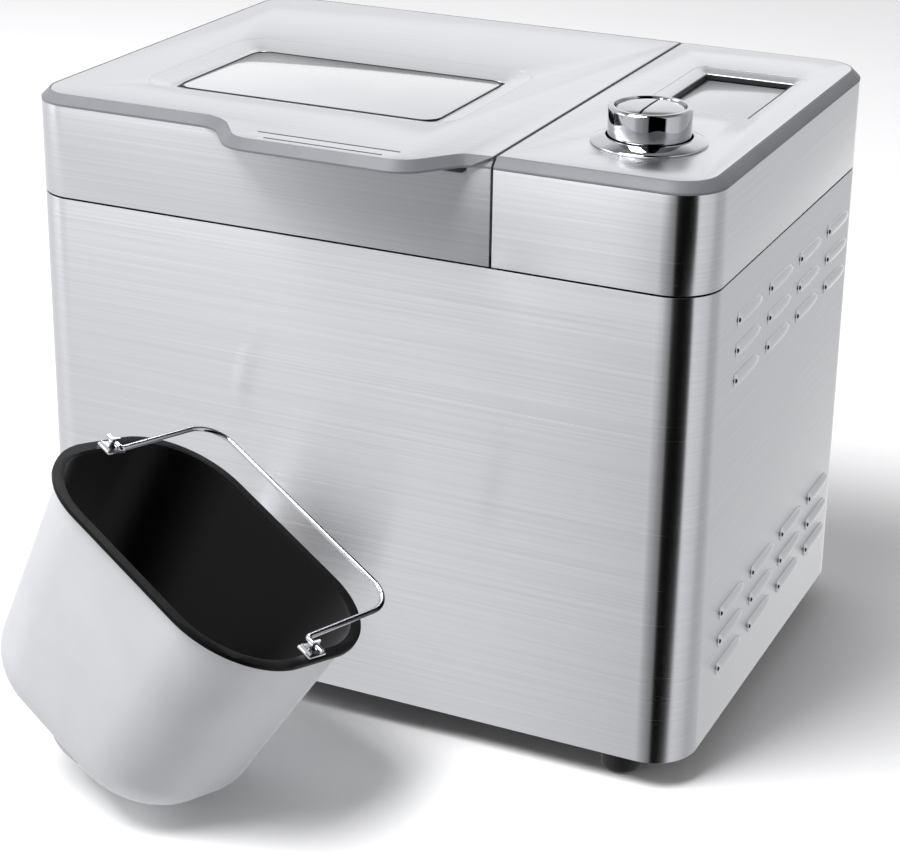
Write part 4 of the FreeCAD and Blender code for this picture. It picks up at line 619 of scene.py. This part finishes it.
def plateSheet(node, tongue, splitSide):
    # the steel sheet that lies inside the trim, following the same outline
    low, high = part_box("turret_frame" if node == "control_plate" else "lid_frame")
    top = high.z
    depth = high.y
    low = Vector((low.x, -depth, top - tops["plateThick"]))
    high = Vector((high.x, depth, top))
    outline = capOutline(low, high, tongue, splitSide)
    splitX = high.x if splitSide == "right" else low.x
    edit(outline)
    bpy.ops.mesh.select_all(action="SELECT")
    edge = tops["slope"] + tops["rimFlat"] + tops["plateGap"]
    bpy.ops.mesh.inset(thickness=edge, depth=0, use_even_offset=True)
    way = -1 if splitSide == "right" else 1
    straightenSplit(splitX + way * 0.0006)
    bpy.ops.mesh.select_all(action="INVERT")
    bpy.ops.mesh.delete(type="FACE")
    bpy.ops.mesh.select_all(action="SELECT")
    bpy.ops.mesh.extrude_region_move(TRANSFORM_OT_translate={"value": (0, 0, tops["plateThick"])})
    bpy.ops.mesh.select_all(action="SELECT")
    bpy.ops.mesh.normals_make_consistent(inside=False)
    objectMode()
    return outline


def cutOut(piece, cutter):
    modify(piece, "BOOLEAN", operation="DIFFERENCE", object=cutter, solver="EXACT")
    bpy.data.objects.remove(cutter)
    return piece


def dish(low, high, radius, slope, sink, floorTop):
    # pressed frame that falls from the sheet to the glass: outer outline at low..high, sloped by slope
    piece = roundBox((low.x, low.y, floorTop - 0.003), (high.x, high.y, floorTop), radius, 10)
    edit(piece)
    pick("faces", lambda f: f.normal.z > 0.99)
    bpy.ops.mesh.inset(thickness=slope, depth=-sink, use_even_offset=True)
    bpy.ops.mesh.inset(thickness=tops["dishFlat"], depth=0, use_even_offset=True)
    bpy.ops.mesh.extrude_region_move(TRANSFORM_OT_translate={"value": (0, 0, -tops["gasketTall"])})
    bpy.ops.mesh.delete(type="FACE")
    pick("faces", lambda f: f.normal.z < -0.99)
    bpy.ops.mesh.delete(type="FACE")
    objectMode()
    return piece


def gasket(name, body, low, high, radius, top):
    # the black edge strip that shows as a fine line round the glass
    width, tall = tops["gasketWide"], tops["gasketTall"]
    ring = roundBox((low.x, low.y, top - tall), (high.x, high.y, top), radius, 10)
    edit(ring)
    pick("faces", lambda f: abs(f.normal.z) > 0.99)
    bpy.ops.mesh.inset(thickness=width, depth=0, use_even_offset=True)
    bpy.ops.mesh.delete(type="FACE")
    pick("edges", lambda e: e.is_boundary)
    bpy.ops.mesh.bridge_edge_loops()
    bpy.ops.mesh.select_all(action="SELECT")
    bpy.ops.mesh.normals_make_consistent(inside=False)
    objectMode()
    softenEdges(ring, 0.0002, 2)
    place(ring, name, body, finish["black_plastic"])


def lidTop():
    trim = topTrim("lid_frame", True, "right")
    place(trim, "lidTrim", "lid", finish["grey_trim"], ["lid_frame"])
    # the steel below the tongue shows the studio's panels, not the tongue's underside
    trim.visible_glossy = False
    plate = plateSheet("lid_plate", True, "right")
    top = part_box("lid_plate")[1].z
    paneLow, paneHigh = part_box("window_pane")
    slope, sink = tops["dishSlope"], top - paneHigh.z
    outerLow = paneLow - Vector((slope, slope, 0))
    outerHigh = paneHigh + Vector((slope, slope, 0))
    cutOut(plate, roundBox((outerLow.x, outerLow.y, top - 0.02), (outerHigh.x, outerHigh.y, top + 0.02),
                           tops["dishRound"], 10))
    # two fine grooves on the tongue, each lined with a dark strip: painted shade in the groove
    half = tops["grooveWide"] / 2
    shadeStrips = []
    for y, x0, x1 in tops["grooves"]:
        cutOut(plate, addBox((x0, y - half, top - 0.0007), (x1, y + half, top + 0.01)))
        shadeStrips.append(addBox((x0, y - half, top - 0.0008), (x1, y + half, top + 0.00005)))
    shadeStrip = softenEdges(joinPieces(shadeStrips), 0.0001, 1)
    place(shadeStrip, "grooveInlays", "lid", finish["dark_plastic"])
    # a dark block under the tongue's right flank, painted shade under the overhanging lip
    catch = softenEdges(addBox(*tops["catch"]), 0.0012, 3)
    place(catch, "lidCatch", "lid", finish["dark_plastic"])
    softenEdges(plate, 0.00025, 2, 40)
    rim = dish(outerLow, outerHigh, tops["dishRound"], slope - tops["dishFlat"], sink, top)
    softenEdges(rim, 0.0012, 5, 8)
    plate = joinPieces([plate, rim])
    place(plate, "lidTop", "lid", finish["brushed_top"], ["lid_plate"])
    plate.visible_glossy = False
    gasket("windowGasket", "lid", paneLow, paneHigh, 0.009, paneHigh.z + 0.0004)
    refine("window_pane", "windowGlass", "lid", finish["clear_window"], 0.0005)


def turretTop():
    trim = topTrim("turret_frame", False, "left")
    place(trim, "turretTrim", "machine", finish["grey_trim"], ["turret_frame"])
    plate = plateSheet("control_plate", False, "left")
    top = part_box("control_plate")[1].z
    low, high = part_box("screen_bezel")
    inset, radius = tops["screenInset"], tops["screenRound"]
    outerLow, outerHigh = low + Vector((inset, inset, 0)), high - Vector((inset, inset, 0))
    cutOut(plate, roundBox((outerLow.x, outerLow.y, top - 0.02), (outerHigh.x, outerHigh.y, top + 0.02),
                           radius, 8))
    seatLow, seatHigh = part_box("dial_bezel")
    middleOf = (seatLow + seatHigh) / 2
    cutOut(plate, addTube(middleOf, (seatHigh.x - seatLow.x) / 2 - 0.004, top - 0.02, top + 0.02))
    softenEdges(plate, 0.00025, 2, 40)
    rim = dish(outerLow, outerHigh, radius, tops["screenSlope"], 0.0022, top)
    softenEdges(rim, 0.0006, 3, 12)
    edge = tops["screenSlope"] + tops["dishFlat"]
    glassLow, glassHigh = outerLow + Vector((edge, edge, 0)), outerHigh - Vector((edge, edge, 0))
    gasket("displayGasket", "machine", glassLow, glassHigh, 0.003, top - 0.0024)
    plate = joinPieces([plate, rim])
    place(plate, "turretTop", "machine", finish["brushed_top"],
          ["control_plate", "screen_bezel"])
    refine("screen_window", "displayGlass", "machine", finish["lcd_panel"], 0.0004)


lidTop()
turretTop()
print("tops made")


def lathe(centre, profile, steps=128):
    # spins a closed outline of (radius, height) points about the upright axis
    deselectAll()
    bpy.ops.mesh.primitive_circle_add(vertices=len(profile), radius=0.01, fill_type="NOTHING",
                                      location=(0, 0, 0))
    piece = bpy.context.object
    for vert, (r, z) in zip(piece.data.vertices, profile):
        vert.co = (centre[0] + r, centre[1], z)
    edit(piece, "VERT")
    bpy.ops.mesh.select_all(action="SELECT")
    bpy.ops.mesh.spin(steps=steps, angle=math.tau, center=(centre[0], centre[1], 0), axis=(0, 0, 1))
    bpy.ops.mesh.select_all(action="SELECT")
    bpy.ops.mesh.remove_doubles(threshold=0.00001)
    bpy.ops.mesh.normals_make_consistent(inside=False)
    objectMode()
    return piece


def dialSet():
    low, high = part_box("dial_ring")
    centre = (low + high) / 2
    radius = (high.x - low.x) / 2
    wall = 0.0026
    ring = lathe(centre, [(radius - wall, low.z), (radius, low.z), (radius, high.z - 0.0012),
                          (radius - 0.0006, high.z - 0.0004), (radius - 0.0012, high.z),
                          (radius - wall, high.z)])
    softenEdges(ring, 0.0002, 2, 20)
    place(ring, "dialRing", "dial", finish["chrome"], ["dial_ring"])
    low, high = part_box("dial_bezel")
    outer = (high.x - low.x) / 2
    inner = radius + 0.0008
    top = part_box("control_plate")[1].z
    seat = lathe(centre, [(inner, low.z), (outer - 0.0043, low.z), (outer - 0.0043, top), (outer, top),
                          (outer, top + 0.0006), (outer - 0.0006, top + 0.0011), (inner + 0.0014, high.z),
                          (inner, high.z)])
    softenEdges(seat, 0.0002, 2, 15)
    place(seat, "dialSeat", "machine", finish["chrome"], ["dial_bezel"])
    for node, name, body, way in (("power_button", "powerButton", "power_key", -1),
                                  ("start_button", "startButton", "start_key", 1)):
        low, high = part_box(node)
        reach = radius - wall - 0.0004
        gap = 0.0006
        cap = lathe(centre, [(0.0, high.z - 0.006), (reach, high.z - 0.006), (reach, high.z - 0.0022),
                             (reach - 0.0016, high.z - 0.0010), (reach * 0.6, high.z - 0.0002),
                             (0.0, high.z)])
        edit(cap, "VERT")
        bpy.ops.mesh.select_all(action="SELECT")
        bpy.ops.mesh.bisect(plane_co=(centre.x + way * gap, centre.y, 0), plane_no=(way, 0, 0),
                            use_fill=True, clear_inner=True)
        bpy.ops.mesh.select_all(action="SELECT")
        bpy.ops.mesh.normals_make_consistent(inside=False)
        objectMode()
        softenEdges(cap, 0.0005, 3, 35)
        stem = addTube((centre.x + way * 0.009, centre.y), 0.0032, low.z, high.z - 0.005, 48)
        cap = joinPieces([cap, stem])
        place(cap, name, body, finish["chrome"], [node])


dialSet()
print("dial made")


pan = {
    "long": 0.1445,
    "wide": 0.1031,
    "tall": 0.108,
    "taper": (0.84, 0.9),
    "corner": 0.0387,
    "footRound": 0.022,
    "wall": 0.0016,
    "lip": 0.003,
    "lipThick": 0.0018,
    "ear": 0.0752,
    "earHalf": 0.024,
    "pivot": (0.0695, 0.0036),
    "wire": 0.0013,
    "arm": 0.0584,
    "lean": 7,
}


def panMatrix():
    along = Vector(joints["bail_hinge"]["axis"]).normalized()
    up = Vector(joints["paddle_spin"]["axis"]).normalized()
    across = up.cross(along)
    centre = Vector(joints["bail_hinge"]["pos_m"]) - up * pan["pivot"][1]
    turn = Matrix((along, across, up)).transposed().to_4x4()
    return Matrix.Translation(centre) @ turn


def panShell():
    halfX, halfY = pan["long"] / 2, pan["wide"] / 2
    piece = addBox((-halfX, -halfY, -pan["tall"]), (halfX, halfY, 0))
    edit(piece)
    pick("faces", lambda f: f.normal.z < -0.99)
    bpy.ops.transform.resize(value=(*pan["taper"], 1), center_override=(0, 0, -pan["tall"]))
    pick("edges", lambda e: abs(e.verts[0].co.z - e.verts[1].co.z) > 0.05)
    bpy.ops.mesh.bevel(offset=pan["corner"], offset_type="OFFSET", segments=20, affect="EDGES")
    pick("edges", lambda e: middle(e).z < -pan["tall"] + 1e-5 and
         sum(1 for f in e.link_faces if f.normal.z < -0.99) == 1)
    bpy.ops.mesh.bevel(offset=pan["footRound"], segments=12, affect="EDGES")
    pick("faces", lambda f: f.normal.z > 0.99)
    bpy.ops.mesh.delete(type="FACE")
    objectMode()
    modify(piece, "SOLIDIFY", thickness=pan["wall"], offset=-1, use_even_offset=True)
    # the inner skin carries the coating
    piece.data.materials.append(finish["pan_aluminium"])
    piece.data.materials.append(finish["nonstick"])
    hollow = Vector((0, 0, -0.03))
    for face in piece.data.polygons:
        inward = (hollow - face.center).dot(face.normal) > 0
        face.material_index = 1 if inward else 0
    return piece


def panLip():
    halfX, halfY = pan["long"] / 2 + pan["lip"], pan["wide"] / 2 + pan["lip"]
    corner = pan["corner"] + pan["lip"]
    piece = roundBox((-halfX, -halfY, -pan["lipThick"]), (halfX, halfY, 0), corner, 20)
    ears = addBox((-pan["ear"], -pan["earHalf"], -pan["lipThick"]), (pan["ear"], pan["earHalf"], 0))
    edit(ears)
    for x in (-0.062, -0.034, 0.034, 0.062):
        bpy.ops.mesh.select_all(action="SELECT")
        bpy.ops.mesh.bisect(plane_co=(x, 0, 0), plane_no=(1, 0, 0))
    for reach, side in ((0.063, 0.0435), (0.035, halfY - 0.0003)):
        pick("verts", lambda v: abs(v.co.x) < reach)
        wide = max(v.co.y for v in bmesh.from_edit_mesh(ears.data).verts if v.select)
        bpy.ops.transform.resize(value=(1, side / wide, 1), center_override=(0, 0, 0))
    pick("edges", lambda e: upright(e) and abs(e.verts[0].co.x) > 0.07)
    bpy.ops.mesh.bevel(offset=0.009, segments=8, affect="EDGES")
    objectMode()
    modify(piece, "BOOLEAN", operation="UNION", object=ears, solver="EXACT")
    bpy.data.objects.remove(ears)
    cover = pan["wall"] + 0.0004
    hole = roundBox((-pan["long"] / 2 + cover, -pan["wide"] / 2 + cover, -0.02),
                    (pan["long"] / 2 - cover, pan["wide"] / 2 - cover, 0.02), pan["corner"] - cover, 20)
    cutOut(piece, hole)
    softenEdges(piece, 0.0007, 3, 35)
    piece.data.materials.append(finish["nonstick"])
    return piece


def panPieces():
    matrix = panMatrix()
    shell, lip = panShell(), panLip()
    shell.data.transform(Matrix.Translation((0, 0, -0.0003)))
    for part in (shell, lip):
        part.data.transform(matrix)
    place(shell, "panShell", "pan", None, ["pan_shell"], 40)
    place(lip, "panRim", "pan", None)
    # the steel behind stays clean of the black pan mouth
    for piece in (shell, lip):
        piece.visible_glossy = False
    # bail: a U of wire bent from one line, its ends turned out through the ear clips
    reach, lift = pan["pivot"]
    lean = math.radians(pan["lean"])
    out = Vector((0, math.cos(lean), math.sin(lean))) * pan["arm"]
    inset = reach - 0.0049
    corners = [Vector((-reach - 0.0046, 0, lift)), Vector((-inset, 0, lift)), Vector((-inset, 0, lift)) + out,
               Vector((inset, 0, lift)) + out, Vector((inset, 0, lift)), Vector((reach + 0.0046, 0, lift))]
    deselectAll()
    bpy.ops.mesh.primitive_circle_add(vertices=len(corners), radius=0.01, fill_type="NOTHING")
    bail = bpy.context.object
    settle(bail)
    for vert, corner in zip(bail.data.vertices, corners):
        vert.co = corner
    edit(bail, "EDGE")
    pick("edges", lambda e: abs(middle(e).x) < 1e-5 and middle(e).y < 0.01)
    bpy.ops.mesh.delete(type="EDGE")
    pick("verts", lambda v: v.co.y > 0.02)
    bpy.ops.mesh.bevel(offset=0.015, segments=12, affect="VERTICES")
    pick("verts", lambda v: v.co.y < 0.001 and abs(abs(v.co.x) - inset) < 1e-5)
    bpy.ops.mesh.bevel(offset=0.0016, segments=5, affect="VERTICES")
    objectMode()
    makeActive(bail)
    bpy.ops.object.convert(target="CURVE")
    bail = bpy.context.object
    bail.data.bevel_depth = pan["wire"]
    bail.data.bevel_resolution = 6
    bail.data.use_fill_caps = True
    bpy.ops.object.convert(target="MESH")
    bail = bpy.context.object
    bail.data.transform(matrix)
    place(bail, "bailWire", "bail", finish["chrome"], ["bail_handle"], 50)
    bail.visible_glossy = False
    clips = []
    for way in (-1, 1):
        x = way * reach
        foot = addBox((x - 0.004, -0.0055, 0), (x + 0.004, 0.0055, 0.0009))
        tab = roundBox((x - 0.0005, -0.0024, 0), (x + 0.0005, 0.0024, lift + 0.0022), 0.0001, 1)
        edit(tab)
        pick("edges", lambda e: middle(e).z > lift and abs(e.verts[0].co.x - e.verts[1].co.x) > 0.0005)
        bpy.ops.mesh.bevel(offset=0.0016, segments=5, affect="EDGES")
        objectMode()
        fold = roundBox((x - 0.0032, -0.0052, 0.0004), (x + 0.0032, -0.0044, 0.0026), 0.0001, 1)
        clips += [foot, tab, fold]
    clip = softenEdges(joinPieces(clips), 0.0002, 2)
    clip.data.transform(matrix)
    place(clip, "earClips", "pan", finish["chrome"], ["handle_clips"])
    refine("kneading_paddle", "kneadingPaddle", "paddle", finish["nonstick"], 0.0012, 3)
    refine("pan_foot", "panFoot", "pan", finish["plated_steel"], 0.0003)
    refine("pan_coupling", "panCoupling", "paddle", finish["cast_alloy"], 0.0004)


panPieces()
print("pan made")


for node, name, body, width in (
    ("rubber_feet", "rubberFeet", "machine", 0.0005),
    ("rear_panel", "rearPanel", "machine", 0.0005),
    ("rear_screws", "rearScrews", "machine", 0.0003),
    ("cord_gland", "cordGland", "machine", 0.0005),
    ("hinge_brackets", "hingeBrackets", "machine", 0.0003),
    ("hinge_leaves", "hingeLeaves", "lid", 0.0003),
    ("base_tray", "baseTray", "machine", 0.0006),
    ("top_deck", "topDeck", "machine", 0.0005),
    ("baking_chamber", "ovenBox", "machine", 0.0003),
    ("heater_clips", "heaterClips", "machine", 0.0002),
    ("pan_socket", "panSocket", "machine", 0.0005),
    ("drive_coupler", "driveCoupler", "drive", 0.0005),
    ("lid_liner", "lidLiner", "lid", 0.0004),
    ("lid_seal", "lidSeal", "lid", 0.0008),
    ("window_frame", "windowFrame", "lid", 0.0005),
    ("window_inner", "innerGlass", "lid", 0.0005),
):
    refine(node, name, body, finish[slots[node]], width)
print("kept parts refined")


def makeStage():
    deselectAll()
    bpy.ops.mesh.primitive_plane_add(size=40, location=(0, 0, 0))
    floor = bpy.context.object
    floor.name = "studioFloor"
    material, tree, shader, coords = newMaterial("paleStudioFloor")
    cloud = grainMap(tree, coords, (3, 3, 3))
    wire(tree, shader, "Base Color", blendColors(tree, cloud, "fafafb", "fcfcfd"))
    shader.inputs["Roughness"].default_value = 0.9
    floor.data.materials.append(material)
    # the steel shows the studio's panels and not the table it stands on
    floor.visible_glossy = False


def areaLight(name, spot, target, size, power):
    data = bpy.data.lights.new(name, "AREA")
    data.shape = "RECTANGLE"
    data.size, data.size_y = size
    data.energy = power
    light = bpy.data.objects.new(name, data)
    bpy.context.scene.collection.objects.link(light)
    light.location = spot
    light.rotation_euler = (Vector(target) - Vector(spot)).to_track_quat("-Z", "Y").to_euler()
    return light


def makeWorld():
    # upright studio panels by compass direction, in degrees from the front toward the right side: the
    # black one draws the dark line down the steel corner, and the white one beside it the bright band
    world = bpy.data.worlds.new("studioSurround")
    bpy.context.scene.world = world
    world.use_nodes = True
    tree = world.node_tree
    tree.nodes.clear()
    output = addNode(tree, "ShaderNodeOutputWorld")
    direction = addNode(tree, "ShaderNodeTexCoord").outputs["Generated"]
    split = addNode(tree, "ShaderNodeSeparateXYZ", links={"Vector": direction})
    angle = addNode(tree, "ShaderNodeMath", operation="ARCTAN2",
                    links={0: split.outputs["X"], 1: split.outputs["Y"]})
    turn = addNode(tree, "ShaderNodeMapRange", {"From Min": -math.pi, "From Max": math.pi},
                   {"Value": angle.outputs[0]})
    ramp = addNode(tree, "ShaderNodeValToRGB", links={"Fac": turn.outputs["Result"]})
    panels = ((179, 1.18), (173, 1.0), (166, 0.72), (145, 0.68), (132, 0.56), (114, 0.56), (100, 0.8),
              (66, 0.95), (61, 0.0), (17, 0.0), (14, 0.25), (0.1, 0.34), (-8, 0.42), (-17, 0.55), (-22, 0.84),
              (-28, 0.93), (-60, 1.0), (-110, 0.95), (-140, 1.12), (-179, 1.18))
    elements = ramp.color_ramp.elements
    elements.remove(elements[1])
    elements[0].position = 0
    elements[0].color = (0.4, 0.4, 0.41, 1)
    for degrees, tone in panels:
        elements.new(-degrees / 360 % 1).color = (tone, tone, tone * 1.01, 1)
    # the panels end overhead, where the softboxes take over
    upper = addNode(tree, "ShaderNodeMapRange",
                    {"From Min": 0.6, "From Max": 0.8, "To Min": 1.0, "To Max": 0.3},
                    {"Value": split.outputs["Z"]})
    sky = addNode(tree, "ShaderNodeBackground",
                  links={"Color": ramp.outputs["Color"], "Strength": upper.outputs["Result"]})
    tree.links.new(sky.outputs["Background"], output.inputs["Surface"])


def makeCamera():
    camera = bpy.data.cameras.new("camera")
    holder = bpy.data.objects.new("camera", camera)
    bpy.context.scene.collection.objects.link(holder)
    azimuth, elevation, roll = 0.4327885, 0.3599982, 0.0143985
    backward = Vector((math.sin(azimuth) * math.cos(elevation), -math.cos(azimuth) * math.cos(elevation),
                       math.sin(elevation)))
    right = (-backward).cross(Vector((0, 0, 1))).normalized()
    up = right.cross(-backward)
    rolledRight = right * math.cos(roll) + up * math.sin(roll)
    rolledUp = up * math.cos(roll) - right * math.sin(roll)
    turn = Matrix((rolledRight, rolledUp, backward)).transposed().to_4x4()
    holder.matrix_world = Matrix.Translation((0.446375, -0.974644, 0.561164)) @ turn
    camera.sensor_fit = "HORIZONTAL"
    camera.sensor_width = 36
    camera.lens = 90.78
    camera.shift_y = -0.1128
    camera.clip_end = 50
    bpy.context.scene.camera = holder


makeStage()
makeWorld()
makeCamera()
areaLight("overheadSoftbox", (-0.5, -0.8, 1.9), (0, 0, 0.1), (1.0, 1.0), 52)
areaLight("leftSoftbox", (-1.7, -0.6, 1.2), (0, 0, 0.1), (0.8, 0.8), 9)
bpy.context.scene.view_settings.view_transform = "Standard"
print("stage, light and camera set")
